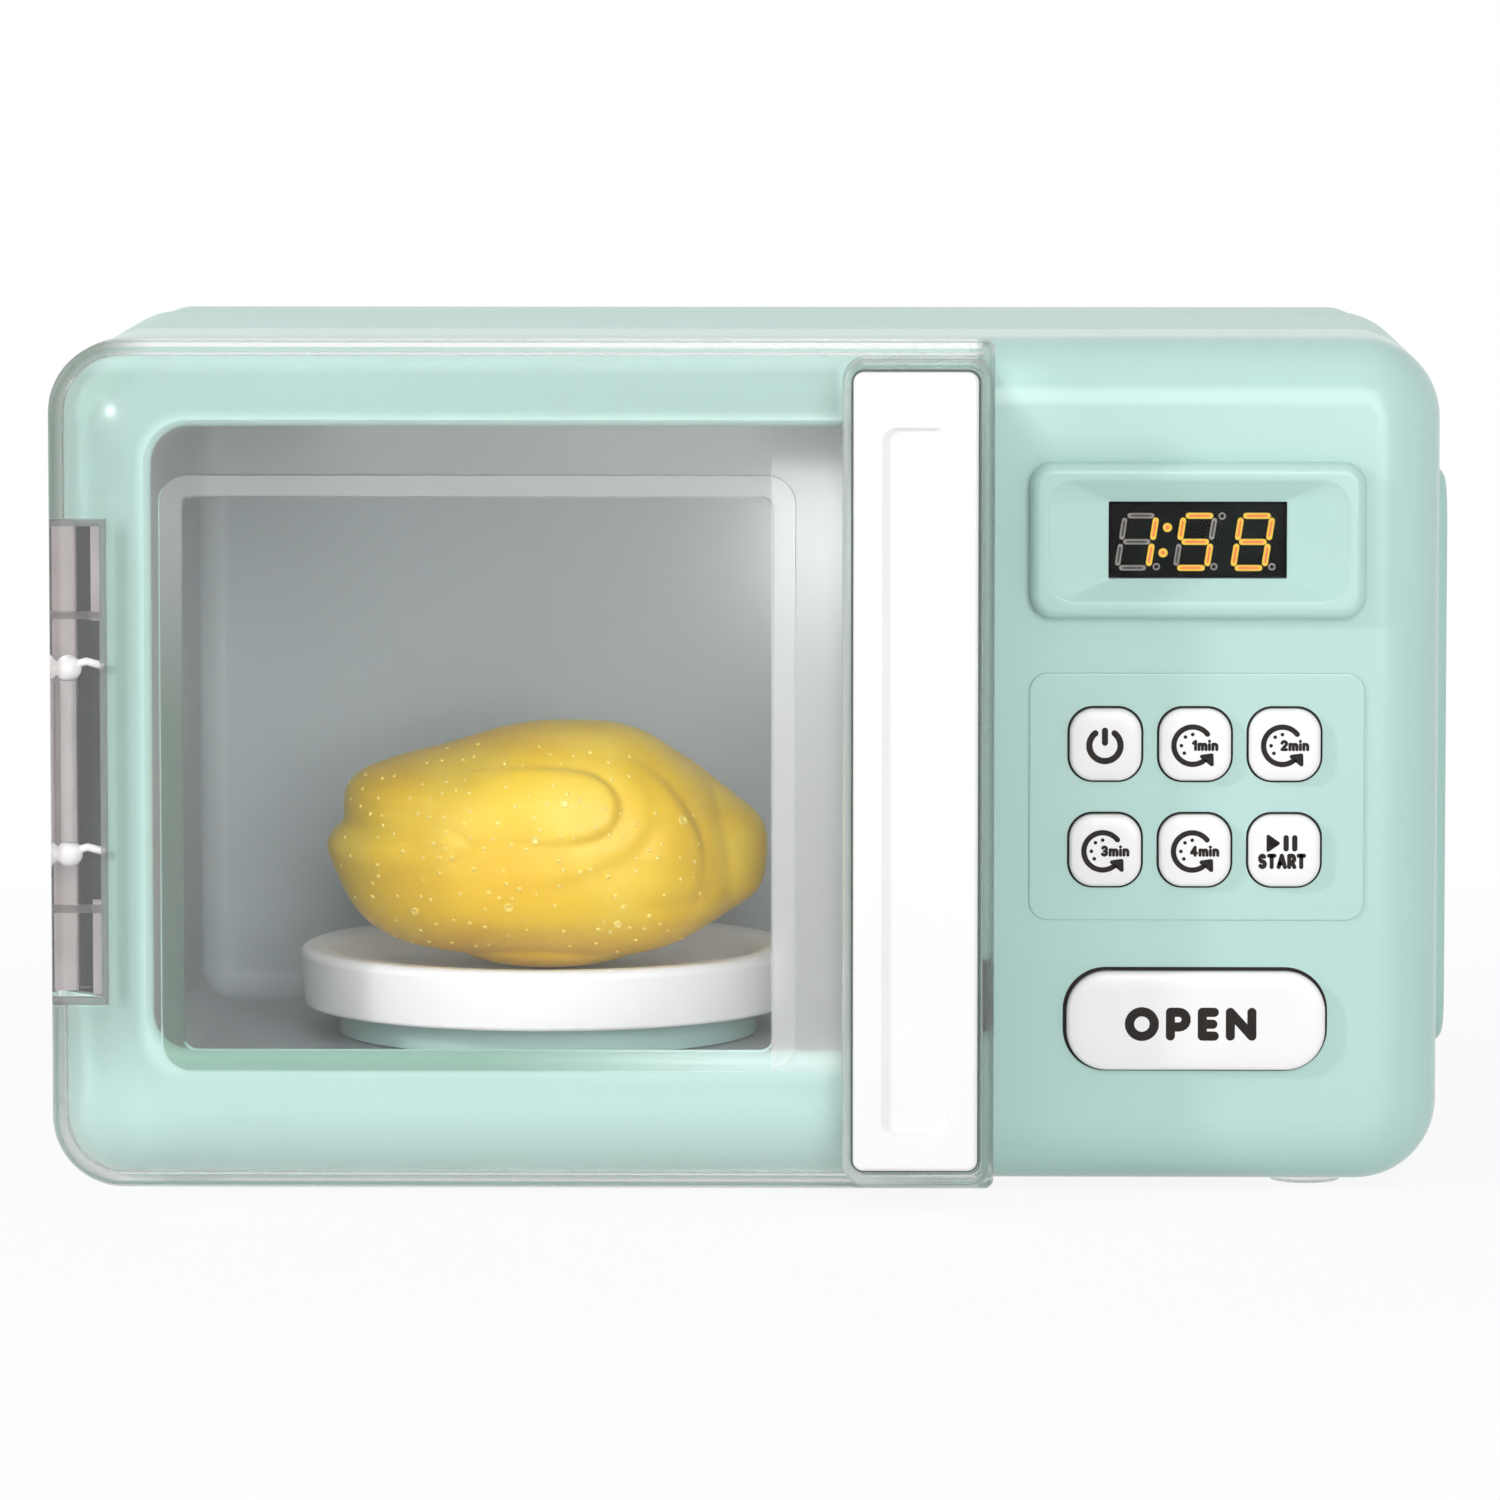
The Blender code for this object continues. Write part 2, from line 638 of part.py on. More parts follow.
def button_places():
    """Name, middle across and middle up of each small button, row by row."""
    places = []
    for index, name in enumerate(BUTTON_NAMES):
        column = index % BUTTON_COLUMNS - (BUTTON_COLUMNS - 1) / 2
        row = index // BUTTON_COLUMNS - (len(BUTTON_NAMES) / BUTTON_COLUMNS - 1) / 2
        places.append((name, CONTROL_X - BUTTON_SHIFT + column * BUTTON_PITCH_X,
                       FIELD_Z - row * BUTTON_PITCH_Z))
    return places


def board_corners():
    """Where the board's four screws and pillars stand."""
    return [(x, z) for z in (BOARD_BOTTOM + BOARD_INSET, BOARD_TOP - BOARD_INSET)
            for x in (BOARD_LEFT + BOARD_INSET / 2 + PILLAR_RADIUS / 2,
                      BOARD_RIGHT - BOARD_INSET / 2 - PILLAR_RADIUS / 2)]


def build_front_shell(mint, frame):
    shell = add("front_shell", control_block(0), mint, frame)
    join(shell, plinth_block(0))
    cut(shell, control_block(WALL))
    cut(shell, plinth_block(WALL))
    join(shell, rounded_block(BOSS_SIDES, BOSS_CORNER, BOSS_ROUND, -BOSS_PROUD, WALL / 2))
    join(shell, button_field())
    for x, z in board_corners():
        join(shell, rod(PILLAR_RADIUS, (x, WALL - FUSE, z),
                        BOARD_DEPTH - GAP - WALL + FUSE, "Y"))
    for bottom in (LATCH_BOTTOM - GAP - GUIDE_THICK, LATCH_TOP + GAP):
        left = LATCH_LEFT + GUIDE_INSET
        join(shell, box(left, left + GUIDE_WIDTH, WALL - FUSE, BAR_DEPTH + BAR_THICK,
                        bottom, bottom + GUIDE_THICK))
    cut_mouth(shell)
    cut_display_slopes(shell)
    cut_button_holes(shell)
    cut_latch_slot(shell)
    cut(shell, box(-HALF_WIDTH - OVERRUN, RECESS_RIGHT, -PLINTH_PROUD - OVERRUN,
                   RECESS_DEPTH, BOX_BOTTOM + BOX_RIB, BOX_TOP - BOX_RIB))
    for x, z in board_corners():
        cut(shell, rod(SCREW_RADIUS + SCREW_CLEARANCE,
                       (x, BOARD_DEPTH - SCREW_REACH, z), SCREW_REACH + OVERRUN, "Y"))
    for x in (-FOOT_X, FOOT_X):
        cut(shell, foot_hole(x, FOOT_DEPTH))
    return shell


def cut_mouth(shell):
    """The opening into the cavity, with a small flare at its front edge."""
    sides = (MOUTH_LEFT, MOUTH_RIGHT, MOUTH_BOTTOM, MOUTH_TOP)
    rings = []
    for flare, depth in ((MOUTH_FLARE, -PLINTH_PROUD - OVERRUN),
                         (MOUTH_FLARE, -PLINTH_PROUD),
                         (MOUTH_FLARE * (1 - math.sqrt(0.5)),
                          -PLINTH_PROUD + MOUTH_FLARE * (1 - math.sqrt(0.5))),
                         (0, -PLINTH_PROUD + MOUTH_FLARE),
                         (0, -PLINTH_PROUD + WALL + OVERRUN)):
        rings.append(stand(inner_outline(sides, -flare, MOUTH_CORNER), depth))
    cut(shell, loft(rings))


def cut_display_slopes(shell):
    """The four slopes inside the display's frame, and the hole for its window."""
    rim = inner_outline(BOSS_SIDES, BOSS_RIM, BOSS_CORNER + BOSS_RIM / 2)
    window = outline(*WINDOW_SIDES, WINDOW_CORNER)
    cut(shell, loft([stand(rim, -BOSS_PROUD - OVERRUN), stand(rim, -BOSS_PROUD + GAP),
                     stand(window, -WINDOW_PROUD), stand(window, WALL + OVERRUN)]))


def button_field():
    """The slightly raised panel that the six small buttons stand in."""
    return loft([
        stand(inner_outline(FIELD_SIDES, FIELD_PROUD, FIELD_CORNER), -FIELD_PROUD),
        stand(inner_outline(FIELD_SIDES, 0, FIELD_CORNER), 0),
        stand(inner_outline(FIELD_SIDES, 0, FIELD_CORNER), WALL / 2),
    ])


def cut_button_holes(shell):
    holes = [(x, z, BUTTON_WIDTH, BUTTON_HEIGHT, BUTTON_CORNER) for _, x, z in button_places()]
    holes.append((CONTROL_X, OPEN_Z, OPEN_WIDTH, OPEN_HEIGHT, OPEN_CORNER))
    for x, z, width, height, corner in holes:
        points = outline(*sides_about(x, z, width, height, BUTTON_CLEARANCE),
                         corner + BUTTON_CLEARANCE)
        cut(shell, loft([stand(points, -FIELD_PROUD - OVERRUN), stand(points, WALL + FUSE)]))


def cut_latch_slot(shell):
    """The slot in the control face that the door's tongue goes into."""
    cut(shell, box(LATCH_LEFT - GAP, LATCH_LEFT + LATCH_WIDTH + LATCH_SLOT_MARGIN,
                   -OVERRUN, WALL + OVERRUN, LATCH_BOTTOM - LATCH_SLOT_MARGIN,
                   LATCH_TOP + LATCH_SLOT_MARGIN))


def foot_hole(x, depth):
    return rod(FOOT_STEM_RADIUS + GAP, (x, depth, BODY_BOTTOM - OVERRUN), OVERRUN * 2 + WALL)


def build_feet(rubber, frame):
    """Four rubber feet, each with a stem in a hole of the floor above it."""
    top = BODY_BOTTOM - GAP
    profile = ((0, 0), (FOOT_RADIUS - FOOT_ROUND, 0), (FOOT_RADIUS, FOOT_ROUND),
               (FOOT_RADIUS, top), (FOOT_STEM_RADIUS, top),
               (FOOT_STEM_RADIUS, FLOOR_TOP + FOOT_STEM_RISE), (0, FLOOR_TOP + FOOT_STEM_RISE))
    for name, x, depth in (("foot_front_left", -FOOT_X, FOOT_DEPTH),
                           ("foot_front_right", FOOT_X, FOOT_DEPTH),
                           ("foot_rear_left", -FOOT_X, FOOT_REAR_DEPTH),
                           ("foot_rear_right", FOOT_X, FOOT_REAR_DEPTH)):
        add(name, turned(profile, (x, depth, 0), steps=20), rubber, frame)


def stud_places():
    across = HALF_WIDTH - REAR_INSET - WELL_INSET
    return [(x, z) for z in (BODY_BOTTOM + REAR_INSET_BOTTOM + WELL_INSET,
                             BODY_TOP - REAR_INSET_TOP - WELL_INSET)
            for x in (-across, across)]


def build_housing(mint, frame):
    """The sleeve between the front shell and the rear cover."""
    front = SHELL_DEPTH + GAP
    inner = WALL + GAP
    profile = (
        (SEAM_CHAMFER, front), (0, front + SEAM_CHAMFER),
        (0, HOUSING_BACK - SEAM_CHAMFER), (SEAM_CHAMFER, HOUSING_BACK),
        (WALL, HOUSING_BACK), (WALL, front + LIP_LENGTH + LIP_THICK),
        (inner + LIP_THICK, front + LIP_LENGTH), (inner + LIP_THICK, front - LIP_LENGTH),
        (inner, front - LIP_LENGTH), (inner, front),
    )
    rings = [stand(inner_outline(BODY_SIDES, inset, BODY_CORNER), depth)
             for inset, depth in profile]
    housing = add("housing", loop_solid(rings), mint, frame)
    for side in (-1, 1):
        join(housing, side_pad(side))
    for x, z in stud_places():
        join(housing, rod(STUD_RADIUS, (x, HOUSING_BACK - STUD_LENGTH, z),
                          STUD_LENGTH - GAP, "Y"))
    join(housing, rod(BEARING_RADIUS, (TABLE_X, TABLE_Y, FLOOR_TOP - FUSE),
                      BEARING_TOP - FLOOR_TOP + FUSE))
    half = MOTOR_WIDTH / 2 - MOTOR_PAD_INSET
    join(housing, box(MOTOR_X - half, MOTOR_X + half, TABLE_Y, TABLE_Y + MOTOR_PAD_LENGTH,
                      FLOOR_TOP - FUSE, MOTOR_PAD_TOP))
    for x, z in stud_places():
        cut(housing, rod(REAR_SCREW_RADIUS + SCREW_CLEARANCE,
                         (x, HOUSING_BACK - REAR_SCREW_REACH - GAP * 2, z),
                         REAR_SCREW_REACH + OVERRUN, "Y"))
    cut(housing, rod(SPINDLE_FOOT_RADIUS + SPINDLE_FIT,
                     (TABLE_X, TABLE_Y, SPINDLE_BOTTOM - GAP), OVERRUN))
    for x in (-FOOT_X, FOOT_X):
        cut(housing, foot_hole(x, FOOT_REAR_DEPTH))


def side_pad(side):
    """A raised pad on one side of the housing, to hold the oven by."""
    rings = []
    sides = (SHELL_DEPTH + SIDE_BEHIND_SEAM, HOUSING_BACK - SIDE_BEFORE_REAR,
             BODY_BOTTOM + SIDE_ABOVE_BOTTOM, BODY_TOP - SIDE_BELOW_TOP)
    for step in range(ROUND_STEPS + 1):
        angle = math.pi / 2 * (1 - step / ROUND_STEPS)
        inset = SIDE_ROUND * (1 - math.cos(angle))
        across = HALF_WIDTH + SIDE_PROUD - SIDE_ROUND * (1 - math.sin(angle))
        rings.append([Vector((side * across, depth, up))
                      for depth, up in inner_outline(sides, inset, SIDE_CORNER)])
    rings.append([Vector((side * (HALF_WIDTH - WALL / 2), depth, up))
                  for depth, up in inner_outline(sides, 0, SIDE_CORNER)])
    return loft(rings)


def build_rear_cover(mint, frame):
    """The back shell: a flange that closes the housing, and a smaller box behind it."""
    front = HOUSING_BACK + GAP
    sides = (-HALF_WIDTH + REAR_INSET, HALF_WIDTH - REAR_INSET,
             BODY_BOTTOM + REAR_INSET_BOTTOM, BODY_TOP - REAR_INSET_TOP)
    flange = (-HALF_WIDTH, HALF_WIDTH, BODY_BOTTOM, BODY_TOP)
    rings = []
    for step in range(ROUND_STEPS + 1):
        angle = math.pi / 2 * (1 - step / ROUND_STEPS)
        radius = REAR_ROUND - WALL
        rings.append(stand(inner_outline(sides, WALL + radius * (1 - math.cos(angle)), REAR_CORNER),
                           BODY_DEPTH - WALL - radius * (1 - math.sin(angle))))
    rings.append(stand(inner_outline(sides, WALL, REAR_CORNER), front))
    back = front + FLANGE_THICK
    for inset, depth in ((SEAM_CHAMFER, front), (0, front + SEAM_CHAMFER), (0, back - GAP),
                         (GAP, back)):
        rings.append(stand(inner_outline(flange, inset, BODY_CORNER), depth))
    rings.append(stand(inner_outline(sides, 0, REAR_CORNER), back))
    for step in range(ROUND_STEPS + 1):
        angle = math.pi / 2 * step / ROUND_STEPS
        inset = REAR_ROUND * (1 - math.cos(angle))
        rings.append(stand(inner_outline(sides, inset, REAR_CORNER),
                           BODY_DEPTH - REAR_ROUND * (1 - math.sin(angle))))
    cover = add("rear_cover", loft(rings), mint, frame)
    well = HOUSING_BACK + WELL_STANDOFF
    for x, z in stud_places():
        join(cover, rod(WELL_RADIUS, (x, well, z), BODY_DEPTH - WALL / 2 - well, "Y"))
    for x, z in stud_places():
        hole = REAR_SCREW_RADIUS + SCREW_CLEARANCE
        profile = ((0, -OVERRUN), (hole, -OVERRUN), (hole, WELL_FLOOR), (WELL_HOLE, WELL_FLOOR),
                   (WELL_HOLE, BODY_DEPTH), (0, BODY_DEPTH))
        cut(cover, turned(profile, (x, well, z), "Y", SMALL_TURN_STEPS))
    hatch = hatch_sides()
    cut(cover, loft([stand(inner_outline(hatch, -GAP, HATCH_CORNER), BODY_DEPTH - WALL - OVERRUN),
                     stand(inner_outline(hatch, -GAP, HATCH_CORNER), BODY_DEPTH + OVERRUN)]))
    cut_grille(cover)


def cut_grille(cover):
    """Slots in front of the speaker, cut to the chords of its circle."""
    reach = SPEAKER_RADIUS - SPEAKER_FRAME * 2
    for index in range(GRILLE_SLOTS):
        up = (index - (GRILLE_SLOTS - 1) / 2) * GRILLE_PITCH
        half = math.sqrt(max(reach ** 2 - up ** 2, 0))
        cut(cover, box(SPEAKER_X - half, SPEAKER_X + half, BODY_DEPTH - WALL - OVERRUN,
                       BODY_DEPTH + OVERRUN, SPEAKER_Z + up - GRILLE_SLOT / 2,
                       SPEAKER_Z + up + GRILLE_SLOT / 2))


def screw(name, x, seat, z, radius, head_radius, head, reach, metal, frame):
    """A screw that goes in towards the front, its head's underside at this depth."""
    profile = ((0, -reach), (radius, -reach + radius), (radius, 0), (head_radius, 0),
               (head_radius, head * HEAD_SIDE_SHARE), (head_radius * HEAD_TOP_SHARE, head),
               (0, head))
    add(name, turned(profile, (x, seat, z), "Y", SMALL_TURN_STEPS), metal, frame)


def build_rear_screws(metal, frame):
    for index, (x, z) in enumerate(stud_places(), 1):
        seat = HOUSING_BACK + WELL_STANDOFF + WELL_FLOOR + GAP
        reach = seat - HOUSING_BACK + REAR_SCREW_REACH - GAP
        screw(f"rear_screw_{index}", x, seat, z, REAR_SCREW_RADIUS, REAR_SCREW_HEAD_RADIUS,
              REAR_SCREW_HEAD, reach, metal, frame)


def build_liner(grey, frame):
    """The grey tub behind the mouth, with a flange that backs on to the plinth."""
    sides = (MOUTH_LEFT - LINER_SIDE_MARGIN, MOUTH_RIGHT + LINER_SIDE_MARGIN,
             LINER_BOTTOM, MOUTH_TOP + LINER_SIDE_MARGIN)
    flange_back = LINER_FRONT + LINER_FLANGE_THICK
    profile = (
        (LINER_DRAFT, LINER_BACK), (0, LINER_FRONT), (-LINER_FLANGE, LINER_FRONT),
        (-LINER_FLANGE, flange_back), (-LINER_WALL, flange_back),
        (-LINER_WALL, LINER_BACK + LINER_WALL),
    )
    left, right, bottom, top = sides
    rings = []
    for inset, depth in profile:
        points = outline(left + inset, right - inset, bottom + min(inset, 0), top - inset,
                         LINER_CORNER - inset)
        rings.append(stand(points, depth))
    liner = add("cavity_liner", loft(rings), grey, frame)
    cut(liner, rod(SPINDLE_HOLE, (TABLE_X, TABLE_Y, LINER_BOTTOM - LINER_WALL - OVERRUN),
                   LINER_WALL + OVERRUN * 2))
    cut(liner, rod(LAMP_RADIUS + GAP, (MOUTH_RIGHT - OVERRUN, LAMP_DEPTH, LAMP_Z),
                   OVERRUN * 3, "X"))
    lamp = ((0, 0), (LAMP_FLANGE_RADIUS * LAMP_FACE_SHARE, 0), (LAMP_FLANGE_RADIUS, LAMP_PROUD),
            (LAMP_RADIUS, LAMP_PROUD), (LAMP_RADIUS, LAMP_BODY), (0, LAMP_BODY))
    wall_x = MOUTH_RIGHT + LINER_SIDE_MARGIN
    place = (wall_x - LAMP_PROUD - LINER_DRAFT, LAMP_DEPTH, LAMP_Z)
    return turned(lamp, place, "X", 20)


def build_turntable(mint, white, frame):
    """The drum on the floor, the dish over it, and the spindle that turns the dish."""
    centre = (TABLE_X, TABLE_Y, 0)
    floor = LINER_BOTTOM + GAP
    drum = ((SPINDLE_HOLE, floor), (DRUM_RADIUS, floor), (DRUM_RADIUS, DRUM_TOP - DRUM_ROUND),
            (DRUM_RADIUS - DRUM_ROUND, DRUM_TOP), (SPINDLE_HOLE, DRUM_TOP),
            (SPINDLE_HOLE, floor))
    add("turntable_base", turned(drum, centre), mint, frame)
    table = empty("turntable_axis", centre, frame)
    rim_inner = PLATE_RADIUS - PLATE_RIM
    well = PLATE_RADIUS - PLATE_SLOPE_RUN
    out, rise = PLATE_SLOPE_SHARES
    dish = (
        (0, PLATE_FLOOR), (well, PLATE_FLOOR),
        (well + (rim_inner - well) * out, PLATE_FLOOR + PLATE_HOLLOW * rise),
        (rim_inner, PLATE_TOP - PLATE_ROUND), (rim_inner + PLATE_ROUND, PLATE_TOP),
        (PLATE_RADIUS - PLATE_ROUND, PLATE_TOP), (PLATE_RADIUS, PLATE_TOP - PLATE_ROUND),
        (PLATE_RADIUS - PLATE_TAPER, PLATE_BOTTOM + PLATE_ROUND),
        (PLATE_RADIUS - PLATE_TAPER - PLATE_ROUND, PLATE_BOTTOM),
        (rim_inner - PLATE_TAPER, PLATE_BOTTOM), (rim_inner - PLATE_TAPER, PLATE_UNDERSIDE),
        (HUB_RADIUS, PLATE_UNDERSIDE), (HUB_RADIUS, HUB_BOTTOM),
        (SPINDLE_RADIUS + GAP, HUB_BOTTOM), (SPINDLE_RADIUS + GAP, HUB_SOCKET_TOP),
        (0, HUB_SOCKET_TOP),
    )
    local = (0, 0, 0)
    add("turntable_plate", turned(dish, local), white, table)
    spindle = ((0, SPINDLE_BOTTOM), (SPINDLE_FOOT_RADIUS, SPINDLE_BOTTOM),
               (SPINDLE_FOOT_RADIUS, BEARING_TOP + GAP),
               (SPINDLE_RADIUS, BEARING_TOP + GAP), (SPINDLE_RADIUS, HUB_SOCKET_TOP - GAP),
               (0, HUB_SOCKET_TOP - GAP))
    add("turntable_spindle", turned(spindle, local, steps=24), white, table)
    return table


def gear(teeth, hole, first_tooth):
    """A spur gear. first_tooth is the angle of one tooth's middle."""
    module = GEAR_DISTANCE * 2 / (GEAR_TEETH + PINION_TEETH)
    pitch_radius = module * teeth / 2
    tip = pitch_radius + module * TOOTH_ADDENDUM_SHARE
    root = pitch_radius - module * TOOTH_DEDENDUM_SHARE
    half = math.pi / 2 / teeth - BACKLASH / 2 / pitch_radius
    points = []
    for tooth in range(teeth):
        middle = first_tooth + math.tau * tooth / teeth
        wide = half * TOOTH_ROOT_SHARE
        narrow = half * TOOTH_TIP_SHARE
        for radius, turn in ((root, -wide), (tip, -narrow), (tip, narrow), (root, wide)):
            points.append((radius * math.cos(middle + turn), radius * math.sin(middle + turn)))
    bottom = [Vector((x, y, GEAR_BOTTOM)) for x, y in points]
    top = [Vector((x, y, GEAR_BOTTOM + GEAR_THICK)) for x, y in points]
    return loft([bottom, top]), rod(hole, (0, 0, GEAR_BOTTOM - OVERRUN), GEAR_THICK + OVERRUN * 2)


def build_drive(table, white, brass, dark, frame):
    """The big gear on the spindle, the pinion on the motor's shaft, and the motor."""
    wheel, bore = gear(GEAR_TEETH, SPINDLE_RADIUS + GAP, 0)
    cut(add("drive_gear", wheel, white, table), bore)
    axis = empty("pinion_axis", (MOTOR_X, TABLE_Y, 0), frame)
    wheel, bore = gear(PINION_TEETH, MOTOR_SHAFT_RADIUS + GAP, math.pi / PINION_TEETH)
    cut(add("motor_pinion", wheel, brass, axis), bore)
    points = outline(*sides_about(MOTOR_X, TABLE_Y, MOTOR_WIDTH, MOTOR_LENGTH), MOTOR_CORNER)
    case = [[Vector((across, depth, up)) for across, depth in points]
            for up in (MOTOR_PAD_TOP + GAP, MOTOR_TOP)]
    motor = add("gear_motor", loft(case), dark, frame)
    join(motor, rod(MOTOR_SHAFT_RADIUS, (MOTOR_X, TABLE_Y, MOTOR_TOP - FUSE),
                    GEAR_BOTTOM + GEAR_THICK - MOTOR_TOP + FUSE))


def build_door(clear, white, frame):
    hinge = empty("door_hinge_axis", (HINGE_X, HINGE_Y, 0), frame)
    shift = Matrix.Translation((-HINGE_X, -HINGE_Y, 0))

    def on_door(mesh):
        bmesh.ops.transform(mesh, matrix=shift, verts=mesh.verts)
        return mesh

    face = -DOOR_PROUD
    inner = face + DOOR_WALL
    rings = [stand(inner_outline(DOOR_SIDES, DOOR_WALL, DOOR_CORNER_RIGHT, DOOR_CORNER), inner),
             stand(inner_outline(DOOR_SIDES, DOOR_WALL, DOOR_CORNER_RIGHT, DOOR_CORNER),
                   -DOOR_BACK),
             stand(inner_outline(DOOR_SIDES, 0, DOOR_CORNER_RIGHT, DOOR_CORNER), -DOOR_BACK)]
    for step in range(ROUND_STEPS):
        angle = math.pi / 2 * step / (ROUND_STEPS - 1)
        inset = DOOR_EDGE * (1 - math.cos(angle))
        rings.append(stand(inner_outline(DOOR_SIDES, inset, DOOR_CORNER_RIGHT, DOOR_CORNER),
                           face + DOOR_EDGE * (1 - math.sin(angle))))
    door = add("door_panel", on_door(loft(rings)), clear, hinge)
    pane = (PANE_LEFT, PANE_RIGHT, PANE_BOTTOM, PANE_TOP)
    cut(door, on_door(loft([
        stand(inner_outline(pane, 0, PANE_CORNER), face - OVERRUN),
        stand(inner_outline(pane, 0, PANE_CORNER), face),
        stand(inner_outline(pane, PANE_BEVEL, PANE_CORNER + PANE_BEVEL / 2), face + PANE_RECESS),
    ])))
    pedestal = (PEDESTAL_LEFT, PEDESTAL_RIGHT, PEDESTAL_BOTTOM, PEDESTAL_TOP)
    join(door, on_door(rounded_block(pedestal, PEDESTAL_CORNER, DOOR_EDGE,
                                     face - PEDESTAL_PROUD, face + DOOR_WALL / 2)))
    cut(door, on_door(loft([
        stand(inner_outline(pedestal, PEDESTAL_WALL, PEDESTAL_CORNER),
              face - PEDESTAL_PROUD + PEDESTAL_WALL),
        stand(inner_outline(pedestal, PEDESTAL_WALL, PEDESTAL_CORNER), inner + FUSE),
    ])))
    for z in peg_heights():
        cut(door, on_door(rod(PEG_RADIUS + GAP,
                              (handle_middle(), face - PEDESTAL_PROUD - OVERRUN, z),
                              PEDESTAL_WALL + OVERRUN * 2, "Y")))
    cut(door, on_door(box(-HALF_WIDTH - OVERRUN, -HALF_WIDTH + DOOR_CORNER, -DOOR_BACK_LEFT,
                          OVERRUN, -OVERRUN, DOOR_TOP + OVERRUN)))
    cut(door, on_door(box(-HALF_WIDTH - OVERRUN, -HALF_WIDTH + DOOR_WALL + FUSE, inner,
                          OVERRUN, BALL_BOTTOM_Z - BALL_RADIUS - GAP,
                          BALL_TOP_Z + BALL_RADIUS + GAP)))
    join_hinge_box(door, on_door, inner)
    join(door, on_door(box(LATCH_LEFT, LATCH_LEFT + LATCH_WIDTH, inner - FUSE, LATCH_REACH,
                           LATCH_BOTTOM, LATCH_TOP)))
    join(door, on_door(box(LATCH_LEFT, DOOR_RIGHT - DOOR_WALL / 2, inner - FUSE,
                           -DOOR_BACK * 2, LATCH_BOTTOM, LATCH_TOP)))
    add_handle(white, hinge, on_door)


def handle_middle():
    return (HANDLE_LEFT + HANDLE_RIGHT) / 2


def peg_heights():
    return (HANDLE_BOTTOM + PEG_MARGIN, HANDLE_TOP - PEG_MARGIN)


def join_hinge_box(door, on_door, inner):
    """Ribs inside the door's left edge, with two arms that end in ball pivots."""
    rib_back = HINGE_Y - BOX_RIB_SHORT
    join(door, on_door(box(BOX_RIGHT - BOX_RIB, BOX_RIGHT, inner - FUSE, rib_back,
                           BOX_BOTTOM, BOX_TOP)))
    left = -HALF_WIDTH + DOOR_WALL / 2
    for z in (BOX_BOTTOM + BOX_RIB / 2, BOX_BOTTOM + RIB_INSET,
              BOX_TOP - RIB_INSET, BOX_TOP - BOX_RIB / 2):
        join(door, on_door(box(left, BOX_RIGHT - BOX_RIB / 2, inner - FUSE, rib_back,
                               z - BOX_RIB / 2, z + BOX_RIB / 2)))
    for z in (BALL_BOTTOM_Z, BALL_TOP_Z):
        join(door, on_door(box(HINGE_X, BOX_RIGHT - BOX_RIB / 2, inner - FUSE,
                               HINGE_Y + FUSE, z - ARM_THICK / 2, z + ARM_THICK / 2)))
        join(door, on_door(ball(BALL_RADIUS, (HINGE_X, HINGE_Y, z))))


def ball(radius, centre):
    mesh = bmesh.new()
    bmesh.ops.create_uvsphere(mesh, u_segments=16, v_segments=10, radius=radius)
    bmesh.ops.translate(mesh, verts=mesh.verts, vec=centre)
    return mesh


def add_handle(white, hinge, on_door):
    """The white grip plate, with a long soft groove and two pegs behind it."""
    sides = (HANDLE_LEFT, HANDLE_RIGHT, HANDLE_BOTTOM, HANDLE_TOP)
    front = -DOOR_PROUD - HANDLE_PROUD
    back = -DOOR_PROUD - PEDESTAL_PROUD - GAP
    handle = add("door_handle", on_door(rounded_block(sides, HANDLE_CORNER, HANDLE_EDGE,
                                                      front, back)), white, hinge)
    groove = (HANDLE_LEFT + GROOVE_INSET, HANDLE_RIGHT - GROOVE_INSET,
              HANDLE_BOTTOM + GROOVE_ABOVE_BOTTOM, HANDLE_TOP - GROOVE_BELOW_TOP)
    cut(handle, on_door(loft([
        stand(inner_outline(groove, 0, GROOVE_CORNER), front - OVERRUN),
        stand(inner_outline(groove, 0, GROOVE_CORNER), front),
        stand(inner_outline(groove, GROOVE_SLOPE, GROOVE_CORNER), front + GROOVE_DEPTH),
    ])))
    for z in peg_heights():
        join(handle, on_door(rod(PEG_RADIUS, (handle_middle(), back - FUSE, z),
                                 PEG_LENGTH + FUSE, "Y")))


def build_hinge_bracket(dark, frame):
    """The dark bracket in the recess beside the door, with the post between the balls."""
    right = RECESS_RIGHT - GAP
    back = RECESS_DEPTH - GAP
    front = HINGE_Y + BRACKET_BEHIND_AXIS
    left = -HALF_WIDTH + GAP
    bottom = BOX_BOTTOM + BOX_RIB + GAP
    top = BOX_TOP - BOX_RIB - GAP
    corners = ((right, front), (right, back), (left, back), (left, back - BRACKET_WALL),
               (right - BRACKET_WALL, back - BRACKET_WALL), (right - BRACKET_WALL, front))
    bracket = add("hinge_bracket", loft([[Vector((x, depth, z)) for x, depth in corners]
                                         for z in (bottom, top)]), dark, frame)
    post_bottom = BALL_BOTTOM_Z + BALL_RADIUS - POST_LAP
    post_top = BALL_TOP_Z - BALL_RADIUS + POST_LAP
    join(bracket, rod(POST_RADIUS, (HINGE_X, HINGE_Y, post_bottom), post_top - post_bottom,
                      steps=SMALL_TURN_STEPS * 2))
    margin = POST_SLOT_MARGIN
    join(bracket, box(HINGE_X - WEB_WIDTH / 2, HINGE_X + WEB_WIDTH / 2, HINGE_Y,
                      back - BRACKET_WALL / 2, post_bottom + margin, post_top - margin))
    for z in (BALL_BOTTOM_Z, BALL_TOP_Z):
        cut(bracket, ball(BALL_RADIUS + BALL_CLEARANCE, (HINGE_X, HINGE_Y, z)))


